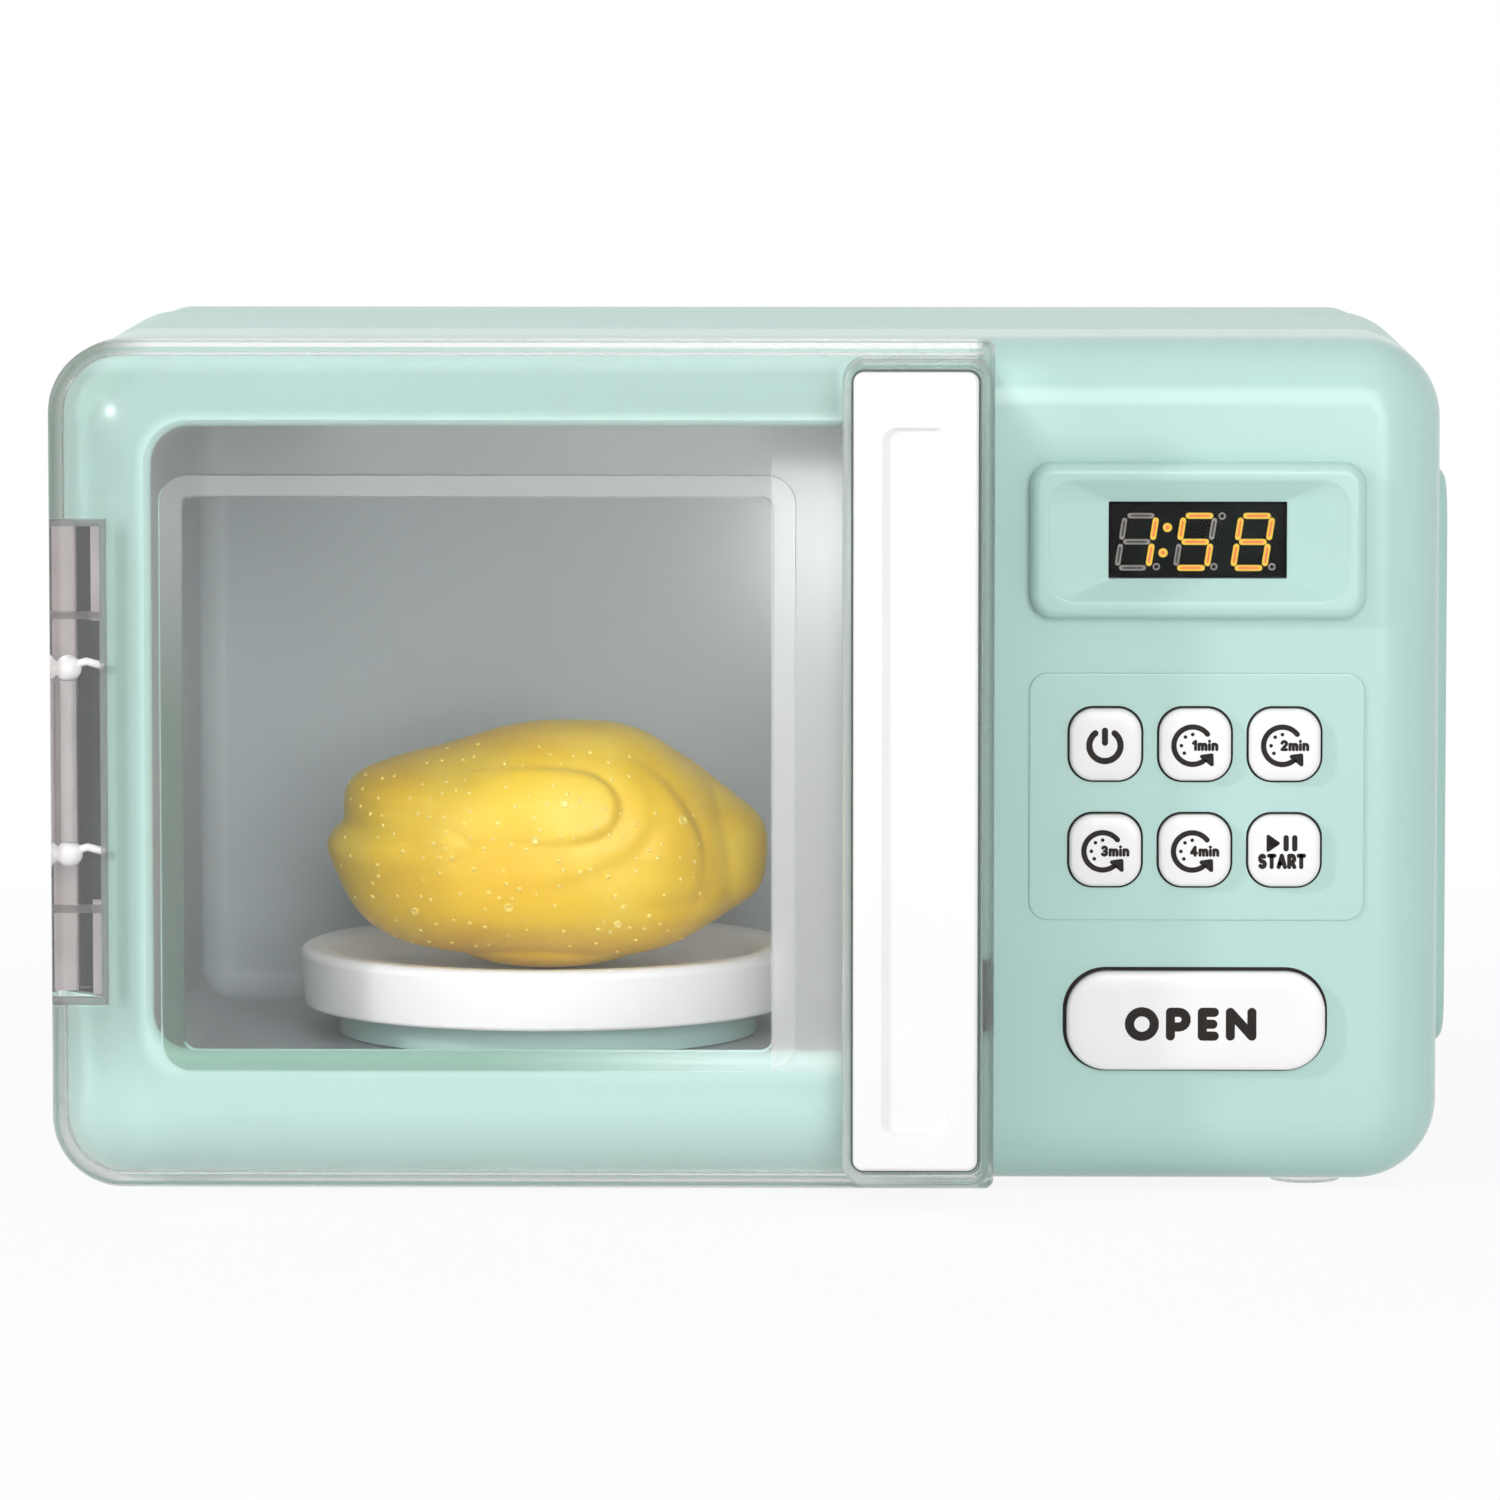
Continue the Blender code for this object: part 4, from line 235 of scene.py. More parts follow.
# %% Lay the floor
FLOOR_SIZE = 6.0
PAPER_SHADE = 0.90
PAPER_COLOUR = (0.88, 0.88, 0.88, 1.0)
FADE = (0.25, 0.6)


def held(mesh, name="blank"):
    """A bmesh, turned into an object."""
    data = bpy.data.meshes.new(name)
    mesh.to_mesh(data)
    mesh.free()
    return linked(name, data)


sheet = bmesh.new()
ops.create_grid(sheet, x_segments=1, y_segments=1, size=FLOOR_SIZE / 2)
floor = held(sheet, "floor")
paper = Mix("white_paper", empty=True)
away = paper.add("VectorMath", {0: paper.place()}, "Value", operation="LENGTH")
white_where_seen(paper, "ShaderNodeOutputMaterial",
                 paper.add("BsdfDiffuse", {"Color": PAPER_COLOUR}),
                 paper.add("Emission", {"Color": "FFFFFF"}),
                 paper.ranged(away, PAPER_SHADE, 1.0, *FADE))
floor.data.materials.append(paper.owner)
print("floor of", FLOOR_SIZE, "metres laid")

# %% [markdown]
# ## Moulded plastic
# Most of the toy is injection-moulded. The colour is even but never quite flat, the skin
# keeps the faint orange peel of the steel mould, and the gloss wanders a little. Three
# noise patterns make these, each at its own real size.

# %% Mix a moulded plastic
GLOW_REACH = (0.004, 0.004, 0.004)


def plastic(name, dark, pale, gloss, mottle=0.030, peel=0.0011, depth=0.000003, glow=0.0,
            shine=0.5):
    """A moulded plastic between two close colours, with orange peel of a real size."""
    mix = Mix(name)
    mix.skin(mix.blended(mix.noise(mottle, 0.0), dark, pale),
             mix.ranged(mix.noise(mottle / 3, 0.0), *gloss), mix.noise(peel, 2.0), 0.35, depth)
    mix.surface({"Specular IOR Level": shine})
    if glow:
        mix.surface({"Subsurface Weight": glow, "Subsurface Radius": GLOW_REACH,
                     "Subsurface Scale": 1.0})
    return mix.owner


MINT = plastic("mint_plastic", "B0D1CA", "B2D3CD", (0.215, 0.222), shine=0.41)
WHITE = plastic("white_plastic", "EBE9E9", "EDEBEB", (0.26, 0.265), 0.020)
SLEEVE_MINT = plastic("mint_sleeve", "ADD1C9", "AFD3CC", (0.28, 0.29), shine=0.18)
GREY = plastic("grey_plastic", "BCC4C6", "C3CACC", (0.45, 0.48), 0.040)
DARK = plastic("dark_plastic", "9A9191", "A59C9C", (0.28, 0.34), 0.008)
BLACK = plastic("display_black", "050807", "0B1110", (0.14, 0.18), 0.010, shine=0.08)
RUBBER = plastic("grey_rubber", "CDD0D0", "D6D8D8", (0.60, 0.70), 0.004, 0.0006, 0.00003)
RED = plastic("red_wire", "A32020", "B82A26", (0.40, 0.50), 0.006)
print("eight moulded plastics mixed")

# %% [markdown]
# ## Clear plastic
# Real clear plastic lets the lamps through to what is behind it, while a ray tracer stops
# shadow rays at any glass. So the shader shows plain transparency to shadow rays, and
# clear plastic to all others.

# %% Mix the clear plastics
SHADOW_PASS = (0.92, 0.92, 0.92, 1.0)
EDGE_STEEPNESS = 2.4


def clear(name, tint, bend=1.46, gloss=(0.015, 0.045), ripple=0.000012, edge="8C978F"):
    """A clear plastic with the faint ripple of a moulding, darker where it is seen edge-on."""
    mix = Mix(name)
    steep = mix.sum("POWER", mix.add("LayerWeight", {}, "Facing"), EDGE_STEEPNESS)
    mix.skin(mix.colours(steep, tint, edge), mix.ranged(mix.noise(0.012), *gloss),
             mix.noise(0.009, 1.0), 0.25, ripple)
    mix.surface({"Transmission Weight": 1.0, "IOR": bend})
    choose = mix.add("MixShader", {0: mix.add("LightPath", {}, "Is Shadow Ray"),
                                   1: mix.nodes["Principled BSDF"].outputs[0],
                                   2: mix.add("BsdfTransparent", {"Color": SHADOW_PASS})})
    mix.fill(mix.nodes["Material Output"], {"Surface": choose})
    return mix.owner


CLEAR = clear("clear_plastic", "F7F8F8")
SMOKED = clear("smoked_plastic", "F4F5F3", 1.12, (0.01, 0.02))
LENS = clear("lamp_lens", "FFF6E0", gloss=(0.05, 0.12))
print("three clear plastics mixed")

# %% [markdown]
# ## Metal, board and cells
# The screws are zinc-plated steel and the pinion is brass. Fine noise in their gloss and a
# light bump read as tool marks. The battery wrap is printed film. The control board is
# fibre in green lacquer, and two crossed waves make its faint weave.

# %% Mix the metals, the board and the wrap
def metal(name, dark, pale):
    mix = Mix(name)
    mix.skin(mix.blended(mix.noise(0.0025), dark, pale),
             mix.ranged(mix.noise(0.0008), 0.22, 0.38), mix.noise(0.0004), 0.3, 0.00001,
             Metallic=1.0)
    return mix.owner


def board_lacquer():
    mix = Mix(plastic("circuit_board", "17543A", "1F6647", (0.22, 0.34), 0.010))
    threads = [mix.add("TexWave", {"Scale": 260, "Vector": mix.place()}, "Fac",
                       bands_direction=direction) for direction in ("X", "Z")]
    mix.fill(mix.nodes["Bump"], {"Height": mix.sum("ADD", *threads)})
    return mix.owner


STEEL = metal("zinc_steel", "A9ABAD", "C9CBCC")
BRASS = metal("brass", "B58F3E", "D4B15C")
BOARD = board_lacquer()
WRAP = plastic("battery_wrap", "2D4A66", "355678", (0.18, 0.28), 0.015)
print("two metals, the board and the battery wrap mixed")

# %% [markdown]
# ## Rings and lofts
# A moulder's tool is cut in layers, and so is a loft: rounded rectangles stand one behind
# the other, and bridge_loops skins them. All sizes are in millimetres from the control
# face, x to the right, y to the back and z up, because that is how the toy was measured.

# %% Draw a rounded ring and a loft
CORNER_STEPS = 14


def ring(mesh, sides, corner, depth, steps):
    """Edges of an upright rounded rectangle. corner may be (left, right)."""
    left, right, bottom, top = sides
    radii = corner if isinstance(corner, tuple) else (corner, corner)
    before = set(mesh.edges)
    corners = [mesh.verts.new((x, depth, z)) for x, z in
               ((left, bottom), (right, bottom), (right, top), (left, top))]
    mesh.faces.new(corners)
    for radius, pair in zip(radii, ((0, 3), (1, 2))):
        ops.bevel(mesh, geom=[corners[index] for index in pair], offset=radius,
                  offset_type="OFFSET", segments=steps, profile=0.5, affect="VERTICES",
                  material=-1)
    new = [edge for edge in mesh.edges if edge not in before]
    ops.delete(mesh, geom=list({face for edge in new for face in edge.link_faces}),
               context="FACES_ONLY")
    return new


def closed(mesh, loops=()):
    """Skins loop to loop, fills the ends and turns all faces outwards."""
    for near, far in zip(loops, loops[1:]):
        ops.bridge_loops(mesh, edges=near + far)
    ops.holes_fill(mesh, edges=mesh.edges)
    ops.recalc_face_normals(mesh, faces=mesh.faces)
    return mesh


def loft(rows, steps=CORNER_STEPS):
    """A closed solid through rows of (sides, corner, depth)."""
    mesh = bmesh.new()
    return closed(mesh, [ring(mesh, *row, steps) for row in rows])


print("a ring has", 4 * (CORNER_STEPS + 1), "points")


# %% Inset, round and cut blocks
ROUND_STEPS = 10


def shrunk(sides, inset):
    """The same sides, this much smaller all round."""
    left, right, bottom, top = sides
    return (left + inset, right - inset, bottom + inset, top - inset)


def smaller(corner, inset, least=0.3):
    """The corner of an outline that lies inset inside this one."""
    if isinstance(corner, tuple):
        return tuple(smaller(radius, inset, least) for radius in corner)
    return max(corner - inset, least)


def inset_rows(sides, rows, front=0.0):
    """Rows of one outline, from (inset, corner, depth)."""
    return [(shrunk(sides, inset), corner, front + depth) for inset, corner, depth in rows]


def straight(sides, corner, front, back, steps=CORNER_STEPS):
    """A plain block with round corners."""
    return loft([(sides, corner, front), (sides, corner, back)], steps)


def quarter(steps):
    """Sine and cosine at even steps through a quarter turn."""
    turns = [radians(90) * step / steps for step in range(steps + 1)]
    return [(sin(turn), cos(turn)) for turn in turns]


def soft_rows(sides, corner, radius, front, steps, deep=None):
    """Rows of a front edge that is rounded by a quarter circle."""
    return [(shrunk(sides, radius * (1 - sine)), smaller(corner, radius * (1 - sine)),
             front + (deep or radius) * (1 - cosine)) for sine, cosine in quarter(steps)]


def back_rows(sides, corner, radius, back, least):
    """Rows of a back edge that is rounded by a quarter circle."""
    return [(shrunk(sides, radius * (1 - cosine)), smaller(corner, radius * (1 - cosine), least),
             back - radius * (1 - sine)) for sine, cosine in quarter(8)]


def soft_block(sides, corner, radius, front, back, steps=ROUND_STEPS):
    """A block with rounded corners and a rounded front edge."""
    return loft(soft_rows(sides, corner, radius, front, steps) + [(sides, corner, back)])


def brick(left, right, front, back, bottom, top):
    """A plain box, for cutting tools and ribs."""
    mesh = bmesh.new()
    middle = Vector((left + right, front + back, bottom + top)) / 2
    size = (right - left, back - front, top - bottom, 1.0)
    ops.create_cube(mesh, size=1.0, matrix=Matrix.Translation(middle) @ Matrix.Diagonal(size))
    return mesh


print("a quarter turn has", ROUND_STEPS, "steps")

# %% [markdown]
# ## Turned and bent shapes
# Round pieces are turned, as on a lathe: bmesh spins a profile round an axis and merges
# the seam. Arms and cushions are skins over rings of points.

# %% Turn a profile
def moved(mesh, matrix):
    ops.transform(mesh, matrix=matrix, verts=mesh.verts)
    return mesh


def turned(profile, middle, axis="Z", steps=96):
    """A closed solid turned from (radius, along) points about an axis through middle."""
    mesh = bmesh.new()
    points = [mesh.verts.new((radius, 0.0, along)) for radius, along in profile]
    edges = [mesh.edges.new(pair) for pair in zip(points, points[1:])]
    ops.spin(mesh, geom=points + edges, cent=(0, 0, 0), axis=(0, 0, 1), angle=radians(360),
             steps=steps, use_merge=True)
    ops.remove_doubles(mesh, verts=mesh.verts, dist=0.0005)
    turn = {"X": Matrix.Rotation(radians(90), 4, "Y"),
            "Y": Matrix.Rotation(radians(-90), 4, "X"), "Z": Matrix.Identity(4)}[axis]
    return moved(closed(mesh), Matrix.Translation(middle) @ turn)


def rod(radius, start, length, axis="Z"):
    """A plain rod from a start point along an axis."""
    return turned(((0, 0), (radius, 0), (radius, length), (0, length)), start, axis, 48)


def ball(radius, middle):
    mesh = bmesh.new()
    ops.create_uvsphere(mesh, u_segments=48, v_segments=24, radius=radius,
                        matrix=Matrix.Translation(middle))
    return mesh


print("a turned piece has 96 steps, one every", 360 / 96, "degrees")


# %% Skin a row of rings
def arc(middle, reach, start, end, steps=12):
    """Points along an arc, its angles in degrees from the right, anticlockwise."""
    wide, tall = reach if isinstance(reach, tuple) else (reach, reach)
    turns = [radians(start + (end - start) * step / steps) for step in range(steps + 1)]
    return [(middle[0] + wide * cos(turn), middle[1] + tall * sin(turn)) for turn in turns]


def skinned(rings):
    """A closed solid over rings of points."""
    mesh = bmesh.new()
    loops = []
    for points in rings:
        verts = [mesh.verts.new(point) for point in points]
        loops.append([mesh.edges.new(pair) for pair in zip(verts, verts[1:] + verts[:1])])
    return closed(mesh, loops)


def strand(path, radius):
    """A round rod along a bent path."""
    rings = []
    for index, place in enumerate(path):
        ahead = Vector(path[min(index + 1, len(path) - 1)]) - Vector(path[max(index - 1, 0)])
        turn = ahead.to_track_quat("Z", "Y")
        rings.append([Vector(place) + turn @ Vector((*spot, 0))
                      for spot in arc((0, 0), radius, 0, 360)[:-1]])
    return skinned(rings)


print("an arc has 13 points, such as", arc((0, 0), 1.0, 0, 90)[6])

# %% [markdown]
# ## Joining and cutting
# A Boolean modifier joins ribs to a wall and cuts holes through it, as a die-sinker does.
# The tools are thrown away when the modifiers have been worked out.

# %% Join and cut with Booleans
def result(body, *tools):
    """A body's mesh after its modifiers. Body and tools are thrown away."""
    view = bpy.context.evaluated_depsgraph_get()
    mesh = bmesh.new()
    mesh.from_mesh(body.evaluated_get(view).to_mesh())
    for thing in (*tools, body):
        data = thing.data
        bpy.data.objects.remove(thing)
        bpy.data.meshes.remove(data)
    return mesh


def worked(blank, joined, cuts=(), solver="EXACT"):
    """The blank with some solids joined to it and others cut from it."""
    body = held(blank)
    tools = []
    for solids, action in ((joined, "UNION"), (cuts, "DIFFERENCE")):
        for solid in solids:
            tools.append(held(solid, "tool"))
            step = body.modifiers.new(action.lower(), "BOOLEAN")
            step.operation, step.solver, step.object = action, solver, tools[-1]
    mesh = result(body, *tools)
    ops.remove_doubles(mesh, verts=mesh.verts, dist=0.0005)
    ops.dissolve_degenerate(mesh, edges=mesh.edges, dist=0.0005)
    return mesh


def merged(meshes):
    """Several meshes as one, without any Boolean."""
    whole = meshes[0]
    for mesh in meshes[1:]:
        data = bpy.data.meshes.new("part")
        mesh.to_mesh(data)
        mesh.free()
        whole.from_mesh(data)
        bpy.data.meshes.remove(data)
    return whole


print("ready to join and cut")

# %% [markdown]
# ## Finishing a piece
# A finished piece is scaled to metres inside its mesh, so its object stays at the origin.
# Smooth shading with sharp creases and area-weighted normals keeps broad faces flat and
# lets small fillets catch the light, as they do on a real moulding.

# %% Finish a piece
FACE_Y = -0.0675


def finished(name, mesh, finish, body, stands_for=(), crease=32):
    """Turns a bmesh in millimetres into a finished piece on a body of the frame."""
    ops.scale(mesh, vec=(0.001, 0.001, 0.001), verts=mesh.verts)
    ops.translate(mesh, vec=(0, FACE_Y, 0), verts=mesh.verts)
    for face in mesh.faces:
        face.smooth = True
    piece = held(mesh, name)
    piece.data.set_sharp_from_angle(angle=radians(crease))
    piece.data.materials.append(finish)
    even = piece.modifiers.new("even_shading", "WEIGHTED_NORMAL")
    even.keep_sharp, even.weight = True, 90
    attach(piece, body)
    if stands_for:
        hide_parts(*stands_for)
    print(name, "has", len(piece.data.polygons), "faces")


print("the control face is", -FACE_Y * 1000, "mm in front of the middle")

# %% [markdown]
# ## The front shell
# One mint moulding carries the control face on the right and a raised, pillow-soft block
# round the cavity's mouth on the left. Both are lofts that share their back. The inside is
# a smaller copy of the same lofts, so the wall is even all over.

# %% Shape the front shell
BODY = (-145.0, 145.0, 2.0, 179.7)
BODY_CORNER = 17.0
FACE_ROUND = 14.0
SHELL_BACK = 46.0
WALL = 2.4
PLINTH_FRONT = -9.3
PLINTH_RIGHT = 46.5
PLINTH_BACK = 20.0
PILLOW = (24.0, 20.0, 22.0)
MOUTH = (-124.0, 36.0, 31.5, 161.9)
MOUTH_CORNER = 8.0
MOUTH_ROUND = 3.0


def control_block(wall):
    return soft_block(shrunk(BODY, wall), BODY_CORNER - wall, FACE_ROUND - wall, wall,
                      SHELL_BACK if wall == 0 else SHELL_BACK + 4)


def plinth_block(wall):
    side, rise, deep = PILLOW
    rows = []
    for sine, cosine in reversed(quarter(16)):
        share = 1 - cosine
        inset = wall + 0.1 + (side - wall) * share
        lift = wall + 0.1 + (rise - wall) * share
        corner = max(BODY_CORNER - wall - 0.45 * (side - wall) * share, 0.3)
        rows.append(((BODY[0] + inset, PLINTH_RIGHT - wall, BODY[2] + lift, BODY[3] - lift),
                     (corner, 0.3), deep + PLINTH_FRONT - (deep - wall) * sine))
    return loft(rows + [(*rows[-1][:2], PLINTH_BACK if wall == 0 else PLINTH_BACK + 4)])


def mouth_cutter():
    wide = (shrunk(MOUTH, -MOUTH_ROUND), MOUTH_CORNER + MOUTH_ROUND, PLINTH_FRONT - 4)
    return loft([wide, *soft_rows(MOUTH, MOUTH_CORNER, -MOUTH_ROUND, PLINTH_FRONT, 8,
                                  MOUTH_ROUND), (MOUTH, MOUTH_CORNER, 30.0)])


print("the shell's wall is", WALL, "mm thick")

# %% [markdown]
# The display sits in a raised frame whose four inner faces slope down to the window. The
# buttons stand in a field raised by little more than half a millimetre, so that only its
# edge shows. Each hole leaves a gap round its button that reads as a dark line.

# %% Place the controls
BOSS = (58.8, 129.0, 121.6, 154.3)
WINDOW = (75.3, 112.5, 129.9, 146.0)
FIELD = (58.8, 129.0, 58.1, 110.1)
BUTTON_SIZE = (14.95, 15.05)
BUTTON_HOLE = (15.9, 16.0)
OPEN_PLACE = (93.9, 37.1)
OPEN_SIZE = (54.1, 20.7)
OPEN_HOLE_PLACE = (93.75, 37.3)
OPEN_HOLE = (55.4, 21.9)


def about(place, size, more=0.0):
    """Sides of a rectangle about a place, this much larger all round."""
    return (place[0] - size[0] / 2 - more, place[0] + size[0] / 2 + more,
            place[1] - size[1] / 2 - more, place[1] + size[1] / 2 + more)


def cad_middle(node):
    """Where the middle of a CAD node lies on the face, in millimetres."""
    low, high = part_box(node)
    return ((low[0] + high[0]) * 500, (low[2] + high[2]) * 500)


BUTTON_PLACES = {name: cad_middle("button_" + name) for name in
                 ("power", "1_minute", "2_minutes", "3_minutes", "4_minutes", "start")}
print("buttons at", {name: (round(x, 1), round(z, 1)) for name, (x, z) in BUTTON_PLACES.items()})


# %% Build the front shell
def front_shell():
    boss = soft_block(BOSS, 5.0, 2.4, -4.2, 1.2)
    field = loft(inset_rows(FIELD, ((0.5, 3.5, -0.6), (0.15, 3.85, -0.45), (0, 4.0, 0.0),
                                    (0, 4.0, 1.2))))
    slope = loft(inset_rows(BOSS, ((3.2, 6.2, -8.0), (3.2, 6.2, -4.25), (3.8, 5.6, -4.05),
                                   (4.2, 5.2, -3.75)))
                 + inset_rows(WINDOW, ((-0.3, 0.6, -1.15), (0, 0.3, -0.9), (0, 0.3, 6.0))))
    holes = [straight(about(place, BUTTON_HOLE), 5.4, -4.0, 5.0)
             for place in BUTTON_PLACES.values()]
    holes += [straight(about(OPEN_HOLE_PLACE, OPEN_HOLE), 9.0, -4.0, 5.0),
              brick(46.7, 49.6, -1.0, 5.0, 33.4, 43.1),
              brick(-150.0, -134.6, -15.0, 8.0, 42.4, 141.5)]
    shell = worked(control_block(0), [plinth_block(0)], [control_block(WALL), plinth_block(WALL)])
    return worked(shell, [boss, field], [mouth_cutter(), slope, *holes])


finished("mint_front", front_shell(), MINT, "oven", ["front_shell"])

# %% [markdown]
# ## The clear door
# The door is a shallow clear tray over the raised block. It carries a bevelled window, a
# hollow pedestal for the handle, and on its left edge a ribbed box whose two arms end in
# balls that it swings on. Its walls are real walls, so light bends at every edge. The
# window is polished, and the rim is satin, because the mould was blasted there.

# %% Measure the door
DOOR = (-145.0, 51.5, 3.0, 179.9)
DOOR_CORNER = (15.0, 2.0)
DOOR_FRONT = -13.0
DOOR_WALL = 2.5
PEDESTAL = (20.0, 51.1, 4.6, 176.8)
PEDESTAL_FRONT = -21.5
PANE = (-122.0, 10.2, 27.3, 152.2)
PANE_BEVEL = 4.8
PANE_RECESS = 0.9
HINGE = (-141.5, -6.5)
HINGE_BOX = (-133.3, 41.2, 142.7)
BALLS = (111.4, 72.5)


def from_edge(mix, x, z, sides, corner):
    """How many millimetres a place lies inside an upright rectangle with round corners."""
    away = []
    for value, low, high in ((x, *sides[:2]), (z, *sides[2:])):
        off = mix.sum("ABSOLUTE", mix.sum("SUBTRACT", value, (low + high) / 2))
        away.append(mix.sum("SUBTRACT", off, (high - low) / 2 - corner))
    past = [mix.sum("POWER", mix.sum("MAXIMUM", part, 0.0), 2.0) for part in away]
    round_off = mix.sum("POWER", mix.sum("ADD", *past), 0.5)
    least = mix.sum("MINIMUM", mix.sum("MAXIMUM", *away), 0.0)
    return mix.sum("SUBTRACT", corner, mix.sum("ADD", round_off, least))


print("the door is", DOOR[1] - DOOR[0], "mm wide and", DOOR[3] - DOOR[2], "mm high")

# %% [markdown]
# The door's finish is clear plastic with masks on it. A mask is one where several steps
# hold at once, each between two places in millimetres. Some masks tint the plastic, some
# veil it and some take its polish. Several tints are painted shade, and one veil is painted
# light over the cavity's right side.

# %% Mix the door's plastic
def door_plastic():
    mix = Mix(clear("door_plastic", "F7F8F8", ripple=0.000003))
    split = mix.nodes.new("ShaderNodeSeparateXYZ")
    mix.fill(split, {0: mix.place()})
    x, z = (mix.sum("MULTIPLY", split.outputs[index], 1000.0) for index in (0, 2))

    def mask(*parts):
        """Where all parts hold: earlier masks, or steps of (value, start, end, low, high)."""
        total = 1.0
        for part in parts:
            if isinstance(part, tuple):
                value, start, end, low, high = part if len(part) > 3 else (*part, 0.0, 1.0)
                part = mix.ranged(value, low, high, start, end, "SMOOTHSTEP")
            total = mix.sum("MULTIPLY", total, part)
        return total

    def adding(number, *parts):
        """The number, and a share of each mask added to it."""
        for part, share in parts:
            number = mix.sum("MULTIPLY_ADD", part, share, number)
        return number

    edge = from_edge(mix, x, z, (DOOR[0], 100.0, DOOR[2], DOOR[3]), DOOR_CORNER[0])
    pane = from_edge(mix, x, z, PANE, 6.0)
    mouth = from_edge(mix, x, z, (-126.5, 38.5, 25.5, 164.5), 10.0)
    mount = from_edge(mix, x, z, PEDESTAL, 5.0)
    # painted shade: the left edge wall, and parts of the bottom and right ones, are tinted darker
    # below
    rim = mask((edge, 1.3, 3.9, 1.0, 0.0), (x, -137, -122, 1.0, 0.0), (z, 20, 120, 0.6, 1.0))
    box = mask((z, 40.6, 41.6), (z, 142.3, 143.3, 1.0, 0.0), (x, -134, -133, 1.0, 0.0))
    plain = mix.sum("SUBTRACT", 1.0, box)
    sides = mask(rim, plain)
    for part in ((z, 4.0, 6.5, 0.32, 0.0), (x, 47.4, 48.4, 0.0, 0.45)):
        sides = mix.sum("MAXIMUM", sides, mask(part))
    around = mask((mount, -0.3, 0.1), (mount, 1.9, 2.5, 0.5, 0.0))
    inner = mask((pane, PANE_BEVEL - 0.4, PANE_BEVEL + 0.1))
    band = mask((pane, -0.1, 0.4), mix.sum("SUBTRACT", 1.0, inner))
    # painted light: a paler, less clear veil over the cavity's right side
    right_veil_painted_light = mask((x, 4.9, 5.3), (x, 20.0, 20.6, 1.0, 0.0), (z, 26, 29), (z, 150, 158, 1.0, 0.0))
    milk = mask(around, (x, 24, 44, 1.0, 0.15), (z, 168, 174, 1.0, 0.4))
    for where, chart in (
            # painted shade: a grey over the raised mint block round the mouth, weaker near the
            # bottom
            (mask((mouth, -1.5, 2.0, 1.0, 0.0), (x, 18, 20, 1.0, 0.0), (z, 16, 40, 0.1, 0.9),
                  (z, 172.5, 176.0, 1.0, 0.0), plain), "DADCDB"),
            # painted shade on the edge walls, partly the look of a clear wall seen edge-on
            (sides, "9AA39B"),
            (mask(rim, box, (x, -143, -142, 0.35, 0.0)), "B3A8A7"),
            # painted shadow of the hinge box, on the mint just right of it
            (mask((x, -132.0, -130.6), (x, -129.8, -127.6, 1.0, 0.0), (z, 38, 44),
                  (z, 138, 145, 0.30, 0.0)), "8FA89B"),
            (around, "BECDC6"),
            (mask(around, (z, 172, 175)), "93A99E"),
            (mask(band, (x, -60, 5, 1.0, 0.0), (z, 95, 148, 1.0, 0.0)), "C2D1C8")):
        mix.tint(where, chart)
    mix.surface({
        "Specular IOR Level": 0.3,
        "Transmission Weight": adding(0.97, (band, -0.07), (right_veil_painted_light, -0.17), (milk, -0.7),
                                      (inner, 0.03)),
        "Roughness": adding(0.13, (sides, 0.30), (inner, -0.11),
                            (mask(box, (x, -144.9, -144.0)), -0.09))})
    return mix.owner


DOOR_PLASTIC = door_plastic()
print("the door's plastic has", len(DOOR_PLASTIC.node_tree.nodes), "nodes")

# %% [markdown]
# Ribs cross the hinge box. Two thin bent arms hold the balls between the box's walls.

# %% Shape the door
ARM_BEND = ((-144.1, -7.6, 0.2), (-143.0, -7.2, -0.2), (-141.5, -6.9, -0.3), (-140.2, -7.0, 0.2),
            (-138.9, -7.3, 1.1), (-137.6, -7.5, 1.5), (-136.2, -7.6, 1.1), (-133.9, -7.6, 0.5))
ARM_RADIUS = 0.85
BALL_RADIUS = 2.8


def hinge_ribs():
    right, low, high = HINGE_BOX
    deep = (DOOR_FRONT + DOOR_WALL - 0.2, HINGE[1] - 1.0)
    ribs = [brick(-144.0, right - 0.6, *deep, middle - 0.7, middle + 0.7)
            for middle in (low + 0.7, low + 20, high - 20, high - 0.7)]
    return worked(brick(right - 1.3, right, *deep, low, high), ribs)


def hinge_arms():
    return merged([strand([(x, y, z + middle) for x, y, z in ARM_BEND], ARM_RADIUS)
                   for middle in BALLS])


def clear_door():
    behind = DOOR_FRONT + DOOR_WALL
    right, low, high = HINGE_BOX
    pedestal = soft_block(PEDESTAL, 5.0, 1.3, PEDESTAL_FRONT, DOOR_FRONT + 1.0)
    window = loft(inset_rows(PANE, (
        (-0.1, 6.1, -3.0), (-0.1, 6.1, 0.0), (0.12, 5.9, 0.3), (0.4, 5.6, 0.42),
        (PANE_BEVEL - 0.4, 3.0, 0.46), (PANE_BEVEL, 2.7, PANE_RECESS)), DOOR_FRONT))
    cuts = [soft_block(shrunk(DOOR, DOOR_WALL), smaller(DOOR_CORNER, DOOR_WALL), 0.8, behind,
                       4.0, 6),
            soft_block(shrunk(PEDESTAL, 2.0), 3.0, 0.8, PEDESTAL_FRONT + 2.0, 4.0, 6), window,
            brick(-150, -142.4, -3.5, 2.0, 20.0, 165.0),
            brick(-150, -142.3, behind - 0.2, 2.0, BALLS[1] - 3.1, BALLS[0] + 3.1),
            brick(-144.2, right + 0.2, behind - 0.25, 2.0, low - 0.1, high + 0.1)]
    tray = worked(soft_block(DOOR, DOOR_CORNER, 1.6, DOOR_FRONT, -1.0), [pedestal], cuts)
    tongue = brick(47.0, 48.7, DOOR_FRONT + 2.0, 4.6, 34.0, 42.5)
    return worked(tray, [tongue])


